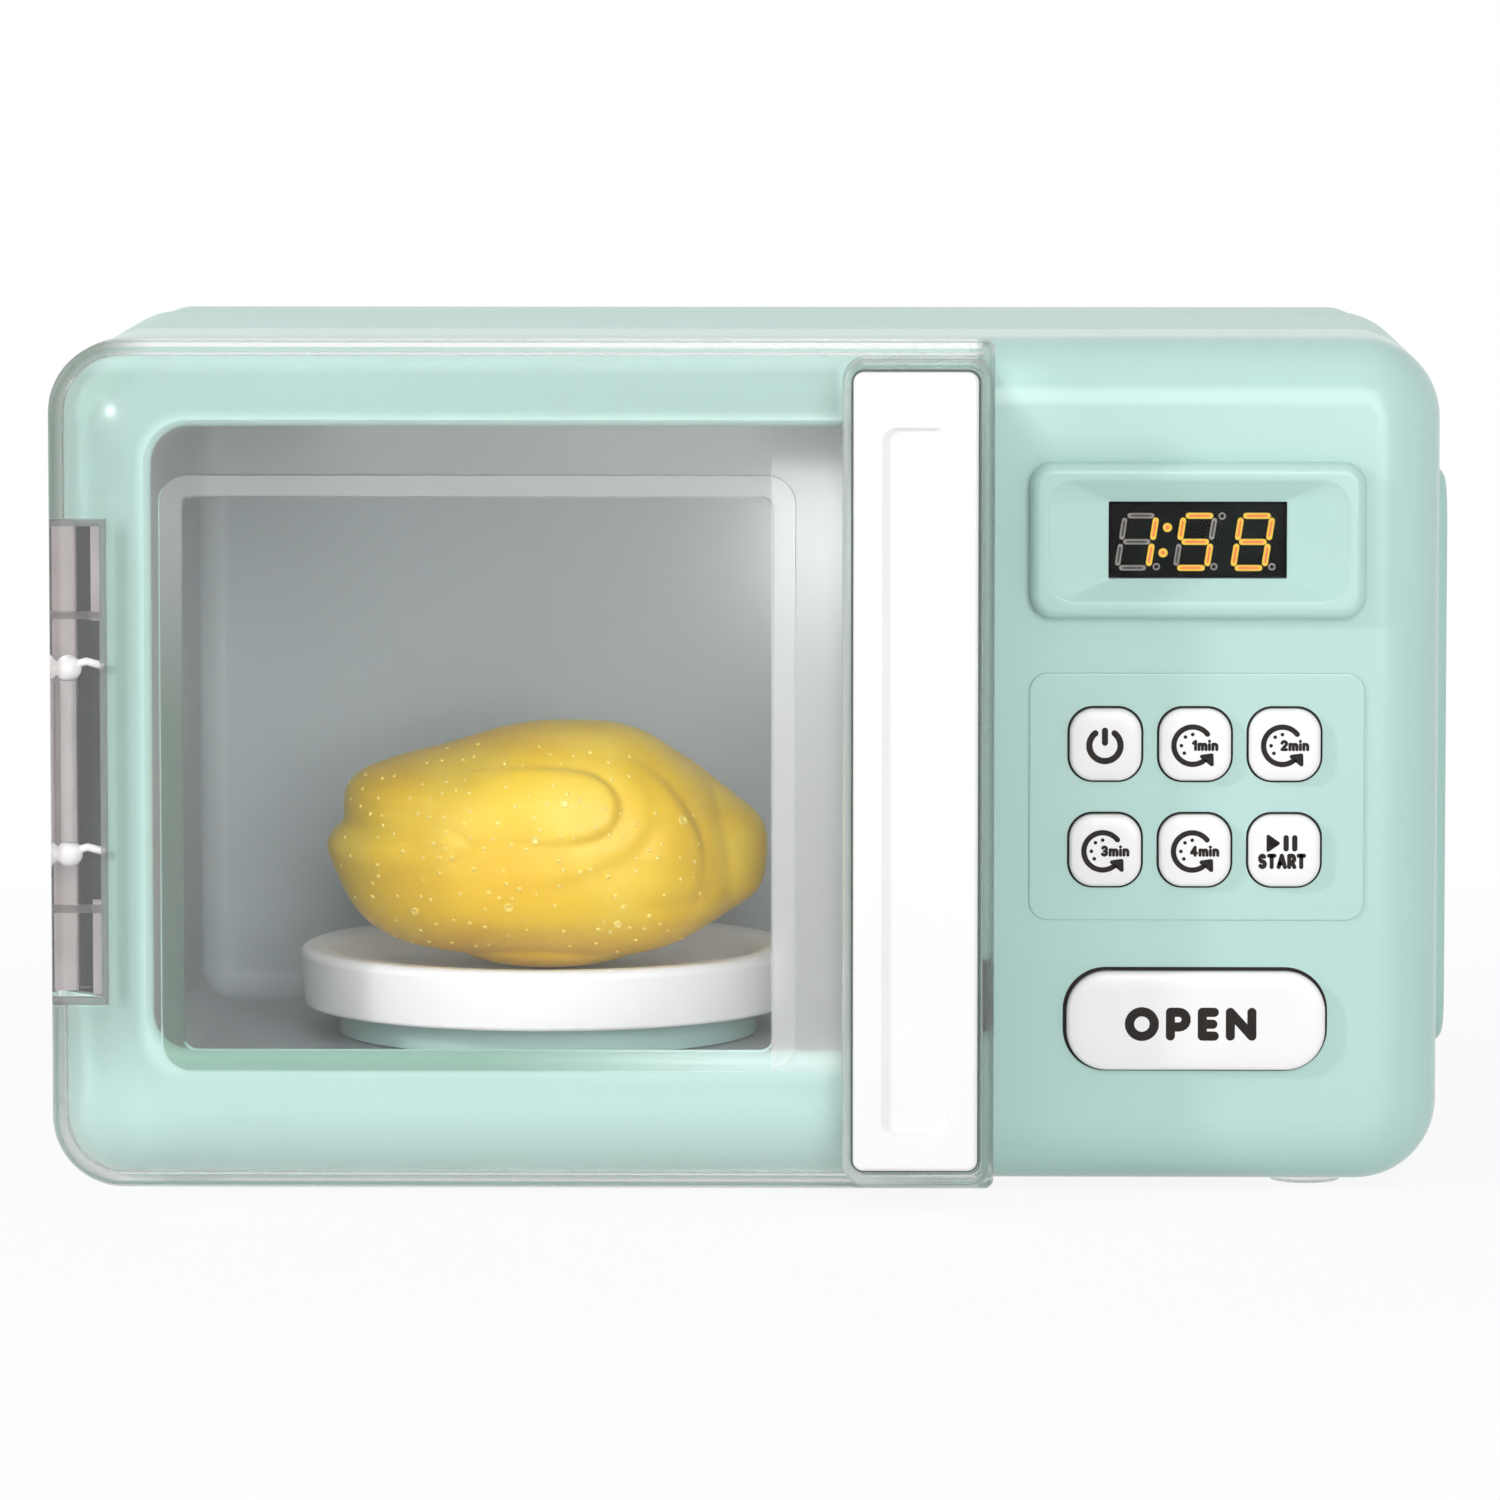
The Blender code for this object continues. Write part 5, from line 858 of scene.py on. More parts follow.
SATIN = clear("satin_rib", "A8A3A1", gloss=(0.30, 0.36), edge="7E7A78")
MILKY = plastic("milky_ball", "D8D6D5", "E6E4E3", (0.10, 0.16), 0.002)
finished("clear_door", clear_door(), DOOR_PLASTIC, "door", ["door_panel"], 26)
finished("hinge_ribs", hinge_ribs(), SATIN, "door")
finished("hinge_balls", merged([ball(BALL_RADIUS, (*HINGE, middle)) for middle in BALLS]),
         MILKY, "door")
finished("hinge_arms", hinge_arms(), MILKY, "door")

# %% [markdown]
# ## The hinge bracket
# In the recess beside the door stands a dark bracket: a folded plate with a shallow cheek
# on the left, a deep channel on the right and a post between the balls. Two dark sheets are
# painted shade: one at the back of the channel and one on its wall between the balls.

# %% Make the hinge bracket
BRACKET = (42.7, 141.2)
BRACKET_PROFILE = ((-134.9, -4.8), (-134.9, 7.7), (-144.7, 7.7), (-144.7, 1.8), (-141.0, 1.8),
                   (-140.6, 2.2), (-140.6, 5.7), (-136.9, 5.7), (-136.9, -4.8))


def hinge_bracket():
    low, high = BALLS[1] + 1.6, BALLS[0] - 1.6
    plate = skinned([[(x, y, z) for x, y in BRACKET_PROFILE] for z in BRACKET])
    post = rod(1.7, (*HINGE, low), high - low)
    web = brick(HINGE[0] - 0.9, HINGE[0] + 0.9, HINGE[1], 3.0, low + 3, high - 3)
    return worked(plate, [web, post], [ball(3.05, (*HINGE, middle)) for middle in BALLS])


# painted shade: a near-black sheet put where the hinge channel and the latch slot lie in shadow
SHADE_SHEET = plastic("dark_shade_sheet", "1E2424", "272D2D", (0.45, 0.55), 0.006, shine=0.05)
finished("hinge_bracket_fine", hinge_bracket(), DARK, "oven", ["hinge_bracket"])
finished("channel_painted_shade", merged([
    brick(-140.5, -137.0, 5.1, 5.65, BRACKET[0] + 0.5, BRACKET[1] - 0.5),
    brick(-136.9, -134.9, -5.2, -4.83, HINGE_BOX[1] + 21.5, HINGE_BOX[2] - 21.5)]),
         SHADE_SHEET, "oven")
# painted shade: a dark sheet inside the latch slot, where the slot is in shadow
finished("latch_slot_shade", brick(49.0, 51.4, -0.4, -0.03, 35.4, 50.5), SHADE_SHEET, "oven")

# %% [markdown]
# ## The handle plate
# A long white plate is stuck on the pedestal. The soft edges of its shallow groove show
# only as thin lines. A dark frame under it, a little larger than the plate, is a painted
# shadow: it shows as a thin dark line all round, where the gap would be in shade.

# %% Make the handle plate
HANDLE = (22.2, 48.0, 8.4, 174.2)
HANDLE_CORNER = 2.2
GROOVE = (28.7, 41.5, 15.8, 162.8)
GROOVE_ROWS = ((-0.9, -0.25, 3.1, -28.0), (-0.9, -0.25, 3.1, -25.03), (-0.5, 0.0, 2.9, -24.95),
               (0.8, 0.6, 2.3, -24.0), (1.2, 0.8, 2.1, -23.85), (1.9, 1.1, 1.9, -23.8))


def handle_plate():
    left, right, bottom, top = GROOVE
    groove = loft([((left + side, right - side, bottom + end, top - end), corner, depth)
                   for side, end, corner, depth in GROOVE_ROWS])
    plate = soft_block(HANDLE, HANDLE_CORNER, 1.0, -25.0, -21.8, 6)
    return worked(plate, (), [groove], "MANIFOLD")


def handle_gap_shadow():
    outer, hole = (straight(shrunk(HANDLE, -more), HANDLE_CORNER + more, front, back)
                   for more, front, back in ((0.45, -22.7, -21.55), (0.06, -24.0, -20.0)))
    return worked(outer, (), [hole])


# painted shadow: a dark frame behind the plate that stands for the shade in the gap round it
HANDLE_GAP_SHADE = plastic("dark_gap_shade", "4C5F58", "58695F", (0.6, 0.7), 0.003)
finished("handle_gap_shadow", handle_gap_shadow(), HANDLE_GAP_SHADE, "door")
finished("white_handle", handle_plate(), WHITE, "door", ["door_handle"])

# %% [markdown]
# ## Push buttons
# Each cap is a white rounded square with a softly domed face, which takes a few more rows
# near the front. A collar behind the wall keeps the cap in its hole. A dark ring in each
# hole is painted shadow: it makes the gap round the cap a dark line, as the gap's shade would.

# %% Make the button caps
CAP_FRONT = -3.0


def cap(place, size, corner, dome):
    sides = about(place, size)
    face = [(inset, smaller(corner, sharper), dome * share) for inset, sharper, share in
            ((4.2, 3.4, 0.0), (2.6, 2.0, 0.18), (1.5, 1.2, 0.5))]
    return loft(inset_rows(sides, face, CAP_FRONT)
                + soft_rows(sides, corner, 1.0, CAP_FRONT + dome, 6)
                + inset_rows(sides, ((0, corner, 2.65), (-1.1, corner + 1.1, 2.7),
                                     (-1.1, corner + 1.1, 3.9))))


def button_gap_shadow(place, hole, corner, front, cap_place, cap_size, cap_corner):
    return worked(straight(about(place, hole, -0.02), corner, front, 2.2), (),
                  [straight(about(cap_place, cap_size, 0.12), cap_corner, -1.0, 3.0)])


# painted shadow: dark rings in the holes stand for the shade in the gaps round the caps
BUTTON_GAP_SHADE = plastic("button_gap_shadow", "231B18", "2A211E", (0.5, 0.6), 0.003, shine=0.2)
for name, place in BUTTON_PLACES.items():
    finished("cap_" + name, cap(place, BUTTON_SIZE, 5.0, 0.22), WHITE, "key_" + name,
             ["button_" + name])
finished("cap_open", cap(OPEN_PLACE, OPEN_SIZE, 8.4, 0.25), WHITE, "open_key",
         ["open_button"])
finished("button_gap_shadows", merged(
    [button_gap_shadow(place, BUTTON_HOLE, 5.38, -0.25, place, BUTTON_SIZE, 5.1)
     for place in BUTTON_PLACES.values()]
    + [button_gap_shadow(OPEN_HOLE_PLACE, OPEN_HOLE, 8.98, 0.3, OPEN_PLACE, OPEN_SIZE, 8.5)]),
         BUTTON_GAP_SHADE, "oven")

# %% [markdown]
# ## Printed signs
# The signs are printed in near-black ink with one even pen width and round ends. So a sign
# is a set of lines, and each stretch of a line is the skin (convex hull) of two small
# discs. Each stretch lies a few thousandths of a millimetre in front of the last, so that
# their faces never share a plane. All lettering is plain: OPEN, START, minutes, power.

# %% Draw with a round pen
INK = plastic("printed_ink", "17120F", "1F1815", (0.4, 0.5), 0.003, shine=0.2)
INK_THICK = 0.25
INK_STEP = 0.004
PRINT_FRONT = -3.03


def pen(mesh, line, width, front=PRINT_FRONT, thick=INK_THICK, steps=14):
    """A line drawn with a round pen, its ink's face at this depth."""
    across = Matrix.Rotation(radians(90), 4, "X")
    for index, stretch in enumerate(list(zip(line, line[1:])) or [line]):
        rim = []
        for x, z in dict.fromkeys(stretch):
            middle = Matrix.Translation((x, front + thick / 2 - INK_STEP * (index % 9), z))
            rim += ops.create_cone(mesh, cap_ends=False, segments=steps, radius1=width / 2,
                                   radius2=width / 2, depth=thick,
                                   matrix=middle @ across)["verts"]
        walls = {face for vert in rim for face in vert.link_faces}
        ops.delete(mesh, geom=list(walls), context="FACES_ONLY")
        skin = ops.convex_hull(mesh, input=rim)
        spare = [part for part in skin["geom_interior"] if isinstance(part, bmesh.types.BMVert)]
        ops.delete(mesh, geom=spare, context="VERTS")
    loose = [edge for edge in mesh.edges if not edge.link_faces]
    ops.delete(mesh, geom=loose, context="EDGES")
    ops.dissolve_limit(mesh, angle_limit=radians(1), verts=mesh.verts, edges=mesh.edges)
    ops.recalc_face_normals(mesh, faces=mesh.faces)


print("the ink stands", INK_THICK, "mm thick, sunk into the caps' domed faces")

# %% [markdown]
# ## An alphabet of single lines
# Every letter is written in a cell one unit high, as lines down the middle of the strokes.
# The pen's width is added when it is drawn, so the letters stay legible small.

# %% Write the letters
LETTERS = {
    "O": (1.04, [arc((0.52, 0.5), 0.52, 0, 360, 28)]),
    "P": (0.66, [[(0, 0), (0, 1), *arc((0.36, 0.69), (0.30, 0.31), 90, -90, 9), (0, 0.38)]]),
    "E": (0.50, [[(0.50, 1), (0, 1), (0, 0), (0.50, 0)], [(0, 0.5), (0.44, 0.5)]]),
    "N": (0.90, [[(0, 0), (0, 1), (0.90, 0), (0.90, 1)]]),
    "S": (0.56, [arc((0.28, 0.74), 0.26, 40, 270, 10) + arc((0.28, 0.25), (0.28, 0.25), 90,
                                                            -140, 10)]),
    "T": (0.62, [[(0, 1), (0.62, 1)], [(0.31, 1), (0.31, 0)]]),
    "A": (0.74, [[(0, 0), (0.37, 1), (0.74, 0)], [(0.14, 0.3), (0.60, 0.3)]]),
    "R": (0.60, [[(0, 0), (0, 1), *arc((0.34, 0.73), (0.24, 0.27), 90, -90, 8), (0, 0.46)],
                 [(0.30, 0.46), (0.60, 0)]]),
    "1": (0.26, [[(0, 0.78), (0.26, 1), (0.26, 0)]]),
    "2": (0.56, [arc((0.28, 0.72), 0.28, 165, -30, 10) + [(0, 0), (0.56, 0)]]),
    "3": (0.54, [arc((0.26, 0.74), 0.26, 150, -90, 10) + arc((0.26, 0.24), (0.28, 0.24), 90,
                                                             -150, 10)]),
    "4": (0.62, [[(0.62, 0.28), (0, 0.28), (0.44, 1), (0.44, 0)]]),
    "m": (0.86, [[(0, 0), (0, 0.66)],
                 *([(start, 0.44), *arc((start + 0.22, 0.44), (0.21, 0.22), 180, 0, 6),
                    (start + 0.43, 0)] for start in (0.0, 0.43))]),
    "i": (0.0, [[(0, 0), (0, 0.62)], [(0, 1.02)]]),
    "n": (0.48, [[(0, 0), (0, 0.66)],
                 [(0.0, 0.42), *arc((0.24, 0.42), 0.24, 180, 0, 7), (0.48, 0)]]),
}


def write(mesh, text, middle, height, width, gap, stretch=1.0):
    """Text centred on a place. height is the whole letter's, width the pen's."""
    tall = height - width
    wide = sum(LETTERS[letter][0] * tall * stretch + width for letter in text)
    x = middle[0] - (wide + gap * (len(text) - 1)) / 2 + width / 2
    for letter in text:
        cell, lines = LETTERS[letter]
        for line in lines:
            pen(mesh, [(x + across * tall * stretch, middle[1] - tall / 2 + up * tall)
                       for across, up in line], width)
        x += cell * tall * stretch + width + gap


print(len(LETTERS), "letters written")

# %% [markdown]
# ## Signs on the caps
# The power sign is an open ring with a bar. The four minute signs share one clock: an
# almost closed ring with an arrow head, four ticks and the number of minutes. The play
# triangle is a line that runs round and fills itself.

# %% Print the signs
ARROW_HEAD = ((1.95, -2.3), (3.95, -2.0), (4.0, -3.9), (2.1, -2.35), (3.4, -2.75), (3.55, -2.3))


def power_sign(mesh, x, z):
    pen(mesh, arc((x - 0.15, z - 0.1), 3.26, 128, 412, 30), 1.32)
    pen(mesh, [(x - 0.15, z + 3.0), (x - 0.15, z + 0.5)], 1.32)


def minute_sign(mesh, x, z, number):
    middle = (x - 0.55, z - 0.1)
    pen(mesh, arc(middle, 3.92, 38, 312, 30), 1.12)
    pen(mesh, [(middle[0] + across, middle[1] + up) for across, up in ARROW_HEAD], 0.85)
    for turn in (90, 130, 180, 222):
        pen(mesh, arc(middle, 2.35, turn, turn, 1)[:1], 0.78)
    write(mesh, number + "min", (x + 2.05, z - 0.05), 2.35, 0.66, 0.06)


def play_sign(mesh, x, z):
    left, up = x - 3.4, z + 1.65
    for inset in (0.0, 0.55, 1.0):
        pen(mesh, [(left + inset, up + 1.45 - inset), (left + 2.1 - inset, up),
                   (left + inset, up - 1.45 + inset), (left + inset, up + 1.45 - inset)], 0.7)
    for bar in (3.75, 5.55):
        pen(mesh, [(left + bar, up + 1.15), (left + bar, up - 1.15)], 1.15)
    write(mesh, "START", (x - 0.5, z - 2.15), 3.25, 0.88, 0.0, 0.76)


for name, (x, z) in BUTTON_PLACES.items():
    sign = bmesh.new()
    if name == "power":
        power_sign(sign, x, z)
    elif name == "start":
        play_sign(sign, x, z)
    else:
        minute_sign(sign, x, z, name[0])
    finished("sign_" + name, sign, INK, "key_" + name)
sign = bmesh.new()
write(sign, "OPEN", (OPEN_PLACE[0] - 1.1, OPEN_PLACE[1] - 0.55), 6.95, 1.95, 1.42)
finished("sign_open", sign, INK, "open_key")

# %% [markdown]
# ## The number display
# A black block with bars that light up from inside. Each bar is a round pen stroke on a
# slant: an amber rim with an orange heart where it is lit, warm grey where it is not.
# Small grey rings are the dots that stay dark.

# %% Light the numbers
DIGIT_TALL = 10.9
DIGIT_WIDE = 6.5
DIGIT_SLANT = tan(radians(9))
DIGIT_MIDDLES = (81.2, 93.4, 105.4)
DIGIT_Z = 137.5
BARS = {"a": ((0, 2), (1, 2)), "b": ((1, 2), (1, 1)), "c": ((1, 1), (1, 0)),
        "d": ((0, 0), (1, 0)), "e": ((0, 1), (0, 0)), "f": ((0, 2), (0, 1)),
        "g": ((0, 1), (1, 1))}
LIT = ("bc", "afgcd", "abcdefg")
COLON = ((87.6, 140.5), (86.7, 135.2))
DARK_DOTS = (*((x, DIGIT_Z - 5.2) for x in (85.3, 97.3, 109.4)), (99.0, DIGIT_Z + 5.4))


def glowing(name, chart):
    mix = Mix(name)
    red, green, blue, alpha = paint(chart)
    dim = (red * 0.94, green * 0.9, blue * 0.9, alpha)
    mix.surface({"Emission Color": mix.blended(mix.noise(0.0012), dim, chart),
                 "Base Color": (0.02, 0.015, 0.01, 1.0), "Emission Strength": 1.0,
                 "Roughness": 0.4})
    return mix.owner


def bar(middle, ends, short):
    """The two ends of one bar, a little short of its neighbours."""
    places = [Vector(((across - 0.5) * DIGIT_WIDE, (up - 1) * DIGIT_TALL / 2))
              for across, up in ends]
    along = (places[1] - places[0]).normalized() * short
    return [(middle + place.x + place.y * DIGIT_SLANT, DIGIT_Z + place.y)
            for place in (places[0] + along, places[1] - along)]


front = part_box("display_module")[0][1] * 1000 - FACE_Y * 1000
rim, heart = (front - 0.06, 0.06), (front - 0.09, 0.05)
lit, hearts, unlit, cores = (bmesh.new() for _ in range(4))
for middle, on in zip(DIGIT_MIDDLES, LIT):
    for name, ends in BARS.items():
        shines = name in on
        pen(lit if shines else unlit, bar(middle, ends, 1.0), 1.25 if shines else 1.1, *rim)
        pen(hearts if shines else cores, bar(middle, ends, 1.3), 0.5, *heart)
for dot in COLON:
    pen(lit, [dot], 1.9, *rim, 24)
    pen(hearts, [dot], 0.9, *heart, 16)
for dot in DARK_DOTS:
    pen(unlit, arc(dot, 0.6, 0, 360, 14), 0.36, *rim, 8)
for name, mesh, finish in (
        ("numbers_lit", lit, glowing("amber_light", "FFCE00")),
        ("number_hearts", hearts, glowing("orange_light", "F8801A")),
        ("numbers_dark", unlit, plastic("unlit_bar", "7A7370", "827B78", (0.4, 0.5), 0.002)),
        ("number_cores", cores, plastic("unlit_core", "2E2A29", "353130", (0.4, 0.5), 0.002))):
    finished(name, mesh, finish, "oven")

# %% [markdown]
# ## The cavity
# The tub was drawn from one mould, so its walls lean in a little towards the back and meet
# the back wall in a soft fillet. Cutting a smaller loft from a larger one gives it a real
# wall and an open front. Its grey is painted paler towards its lamp on the right: a painted
# pool of light.

# %% Make the cavity tub
TUB = (-124.6, 36.6, 27.5, 162.5)
TUB_FRONT = -6.0
TUB_BACK = 116.0
TUB_WALL = 1.8
TUB_LEAN = 1.5
TUB_FILLET = 6.0
TABLE = (-44.0, 57.0)


def leaned(sides):
    """Sides that lean in, except at the floor."""
    left, right, bottom, top = sides
    return (left + TUB_LEAN, right - TUB_LEAN, bottom, top - TUB_LEAN)


def cavity_tub():
    outer = loft(inset_rows(TUB, ((-3.8, 11.8, 0.0), (-3.8, 11.8, 1.6), (-TUB_WALL, 9.8, 1.6)),
                            TUB_FRONT)
                 + [(leaned(shrunk(TUB, -TUB_WALL)), 9.8, TUB_BACK + TUB_WALL)])
    inner = loft([(TUB, 8.0, TUB_FRONT - 3), (TUB, 8.0, TUB_FRONT),
                  *back_rows(leaned(TUB), 8.0, TUB_FILLET, TUB_BACK, 2.0)])
    return worked(outer, (), [inner, rod(4.2, (*TABLE, 20.0), 12.0),
                              rod(3.8, (30.0, 30.0, 130.0), 20.0, "X")])


def tub_grey_painted_light():
    mix = Mix(plastic("tub_grey_painted_light", "9FA7A9", "A4ACAE", (0.45, 0.48), 0.040))
    x = mix.add("SeparateXYZ", {0: mix.place()})
    # painted light: the grey turns paler towards the right, where the oven's lamp is
    mix.tint(mix.ranged(x, 0.0, 1.0, -0.075, 0.03, "SMOOTHSTEP"), "C0C6C7")
    return mix.owner


finished("grey_tub", cavity_tub(), tub_grey_painted_light(), "oven", ["cavity_liner"])

# %% [markdown]
# ## Drum and dish
# The dish rides on a mint drum. Its rim is rounded over the top.

# %% Turn the drum and the dish
DRUM = ((4.2, 27.8), (45.0, 27.8), *arc((43.6, 34.2), 1.4, 0, 90, 6), (4.2, 35.6), (4.2, 27.8))
DISH = ((0, 40.8), (39.0, 40.8), (41.2, 41.5), (42.6, 42.7), (43.9, 44.1), (45.3, 45.3),
        (46.9, 46.1), (48.6, 46.45), *arc((51.4, 44.5), 2.0, 90, 0, 6), (52.5, 35.0),
        *arc((51.5, 34.7), 1.0, 0, -90, 6), (49.4, 33.7), (49.4, 38.2), (6.2, 38.2),
        (6.2, 36.4), (3.8, 36.4), (3.8, 39.4), (0, 39.4))
finished("mint_drum", turned(DRUM, (*TABLE, 0.0), steps=128), MINT, "oven",
         ["turntable_base"])
finished("white_dish", turned(DISH, (*TABLE, 0.0), steps=160), WHITE, "turntable",
         ["turntable_plate"], 50)

# %% [markdown]
# ## The play food
# A soft vinyl bird, plump and folded. A sculptor starts from a plump body, then presses
# folds into the clay along drawn lines. Here smooth outlines are blown up like cushions
# and a voxel remesh makes them one skin.

# %% Draw the outlines
FOOD_MIDDLE = (-45.0, 68.0)
FOOD_OUTLINE = (
    (-91.7, 67.5), (-90.7, 70.6), (-88.0, 73.6), (-88.1, 77.0), (-87.4, 80.7), (-85.1, 83.4),
    (-81.4, 85.3), (-74.1, 87.7), (-66.8, 89.5), (-59.5, 91.7), (-53.0, 93.5), (-46.0, 94.6),
    (-37.7, 94.8), (-30.4, 94.4), (-23.8, 92.6), (-18.0, 89.3), (-12.8, 85.2), (-8.8, 81.2),
    (-6.0, 77.0), (-3.6, 72.6), (-2.3, 68.6), (-1.9, 64.6), (-2.3, 60.6), (-3.7, 56.8),
    (-6.5, 53.2), (-11.8, 49.2), (-18.0, 46.2), (-25.3, 44.3), (-34.1, 43.5), (-45.0, 43.7),
    (-56.0, 44.2), (-64.8, 44.9), (-72.1, 46.2), (-77.9, 48.2), (-83.4, 51.8), (-87.0, 56.4),
    (-89.6, 61.6))
TAIL_MIDDLE = (-14.0, 66.5)
TAIL_OUTLINE = (
    (-24.0, 86.0), (-18.5, 88.3), (-13.6, 86.1), (-7.8, 81.6), (-2.7, 77.6), (1.2, 74.2),
    (3.0, 70.5), (3.2, 66.0), (2.6, 61.0), (0.6, 57.0), (-4.9, 53.2), (-11.4, 49.4),
    (-19.0, 49.0), (-26.0, 55.0), (-28.0, 66.0), (-27.0, 78.0))
BASE_MIDDLE = (-44.0, 47.0)
BASE_OUTLINE = arc(BASE_MIDDLE, (21, 6), 0, 360, 16)[:-1]
print("outlines of", len(FOOD_OUTLINE), "and", len(TAIL_OUTLINE), "points drawn")

# %% Blow up the outlines
FOOD_Y = 57.0
FOOD_DEPTH = 28.0
FOOD_GRAIN = 0.62
CUSHION_ROWS = 18


def curved(points, steps=4, loop=True):
    """A smooth curve through the points (Catmull-Rom)."""
    places, last = [], len(points) - 1
    for index in range(len(points) if loop else last):
        before, near, far, after = (
            Vector(points[spot % len(points) if loop else min(max(spot, 0), last)])
            for spot in range(index - 1, index + 3))
        for step in range(steps):
            t = step / steps
            places.append(near + 0.5 * t * (far - before + t * (2 * before - 5 * near + 4 * far
                          - after + t * (3 * near - before - 3 * far + after))))
    return places


def cushion(outline, middle, depth, y):
    """An outline blown up to a cushion, this deep to either side."""
    rings = []
    for row in range(-CUSHION_ROWS, CUSHION_ROWS + 1):
        turn = radians(88) * row / CUSHION_ROWS
        out = cos(turn) ** 0.86
        rings.append([(middle[0] + (x - middle[0]) * out, y + depth * sin(turn),
                       middle[1] + (z - middle[1]) * out) for x, z in curved(outline)])
    return skinned(rings)


def blurred(mesh, grain, passes):
    """One skin over everything in the mesh, its seams rubbed soft."""
    body = held(mesh)
    skin = body.modifiers.new("skin", "REMESH")
    skin.mode, skin.voxel_size = "VOXEL", grain
    rub = body.modifiers.new("rub", "SMOOTH")
    rub.factor, rub.iterations = 0.6, passes
    return result(body)


food_skin = blurred(merged([cushion(FOOD_OUTLINE, FOOD_MIDDLE, FOOD_DEPTH, FOOD_Y),
                            cushion(TAIL_OUTLINE, TAIL_MIDDLE, 17.0, FOOD_Y + 4.0),
                            cushion(BASE_OUTLINE, BASE_MIDDLE, 17.0, FOOD_Y + 4.0)]),
                    FOOD_GRAIN, 5)
print("the skin has", len(food_skin.verts), "points")

# %% [markdown]
# Each fold follows a drawn line. On its right-hand side, seen along the line, the skin
# stands proud and falls off slowly, and on the other side it drops into a narrow valley.
# Swellings are wide soft bumps. Both sides of the bird get the same folds.

# %% Draw the folds
SWELLINGS = (((-46.0, 79.0), (17.0, 8.0), 1.6), ((-76.0, 81.5), (11.0, 5.0), 1.3),
             ((-77.0, 67.5), (13.0, 6.5), 1.6), ((-52.0, 54.0), (24.0, 8.0), 1.2),
             ((-17.0, 68.0), (7.0, 16.0), 1.5))
FOLDS = (  # line, how proud, how far the proud side reaches, how soft, how deep the valley
    (((-55.0, 85.6), (-48.0, 86.1), (-41.2, 85.7), (-36.2, 85.2), (-32.4, 83.9), (-29.6, 81.4),
      (-28.4, 77.8), (-29.4, 74.6), (-32.0, 72.6), (-35.6, 71.5), (-41.3, 71.0), (-47.0, 71.2)),
     1.5, 5.0, 0.35, 0.5),
    (((-27.5, 88.0), (-24.2, 83.5), (-22.4, 79.0), (-22.2, 74.6), (-24.4, 70.6), (-28.6, 67.4),
      (-36.9, 64.4), (-44.0, 62.8), (-52.0, 61.6)), 1.1, 3.4, 1.1, 0.2),
    (((-87.0, 75.0), (-81.5, 76.4), (-76.6, 76.3), (-71.5, 75.2), (-66.5, 73.4), (-62.6, 71.6),
      (-60.6, 70.2), (-61.8, 68.5), (-65.1, 66.7), (-69.5, 65.4)), 1.1, 4.5, 0.45, 0.4),
    (((-26.5, 89.0), (-21.5, 85.3), (-18.2, 82.2), (-15.2, 78.5), (-12.6, 74.4), (-11.0, 70.5),
      (-10.4, 66.3), (-11.0, 61.5)), 0.8, 6.0, 0.45, 0.6),
    (((-24.0, 57.0), (-17.0, 55.6), (-11.0, 57.0), (-7.0, 60.5)), 0.6, 5.0, 0.9, 0.5))
print(len(FOLDS), "folds and", len(SWELLINGS), "swellings drawn")


# %% Press folds into the skin
class Fold:
    def __init__(self, line, proud, reach, soft, valley):
        self.proud, self.reach, self.soft, self.valley = proud, reach, soft, valley
        self.places = curved(line, 12, False)
        self.tree = KDTree(len(self.places))
        for index, place in enumerate(self.places):
            self.tree.insert((*place, 0.0), index)
        self.tree.balance()

    def height(self, x, z):
        place, index, distance = self.tree.find((x, z, 0.0))
        if distance > 4 * self.reach:
            return 0.0
        last = len(self.places) - 1
        along = self.places[min(index + 1, last)] - self.places[max(index - 1, 0)]
        away = copysign(distance, (x - place.x) * along.y - (z - place.y) * along.x)
        fade = sin(pi * min(max(index / last, 0.02), 0.98)) ** 0.6
        rise = 1.0 / (1.0 + exp(-max(min(away / self.soft, 30.0), -30.0)))
        proud = max(away, 0.0) / self.reach
        fall = (0.3 + 0.7 * exp(-proud)) * exp(-(proud / 3) ** 2)
        dip = exp(-((away + self.soft) / (1.1 + self.soft)) ** 2)
        return fade * (self.proud * rise * fall - self.valley * dip)


def press_folds(mesh):
    folds = [Fold(*fold) for fold in FOLDS]
    mesh.normal_update()
    moves = []
    for vert in mesh.verts:
        facing = min(max(abs(vert.normal.y) * 1.6 - 0.2, 0.0), 1.0)
        x, _, z = vert.co
        rise = sum(fold.height(x, z) for fold in folds)
        for (across, up), (wide, tall), proud in SWELLINGS:
            rise += proud * exp(-((x - across) / wide) ** 2 - ((z - up) / tall) ** 2)
        moves.append(vert.normal * rise * facing)
    for vert, move in zip(mesh.verts, moves):
        vert.co += move
    ops.smooth_vert(mesh, verts=mesh.verts, factor=0.4, use_axis_x=True, use_axis_y=True,
                    use_axis_z=True)


press_folds(food_skin)
print("lowest point of the food:", round(min(vert.co.z for vert in food_skin.verts), 2), "mm")

# %% [markdown]
# ## Beads on the skin
# A ray from the front or the back finds where each bead sits. Most are small domes and a
# few are wider rings, like drops. The vinyl is paler where the paint is thin, and the beads
# are palest.

# %% Set the beads
BEAD_SIDES = ((0.0, 1.0, 170, 15), (120.0, -1.0, 110, 9))  # start, ahead, beads, drops
BEAD_FIELD = ((-88.0, -10.0), (46.0, 91.0))
BEAD_GAP = 2.1
DROP = ((0, 0.12), (0.35, 0.14), (0.62, 0.34), (0.86, 0.34), (1.0, 0.0), (0.8, -0.4), (0, -0.4))


def vinyl(name, dark, pale, light, shine):
    mix = Mix(plastic(name, dark, pale, (0.34, 0.38), 0.016, 0.0016, 0.00004, 0.10, shine))
    mix.tint(mix.ranged(mix.noise(0.022, 4.0, 0.6), -0.5, 0.8), light)
    return mix.owner


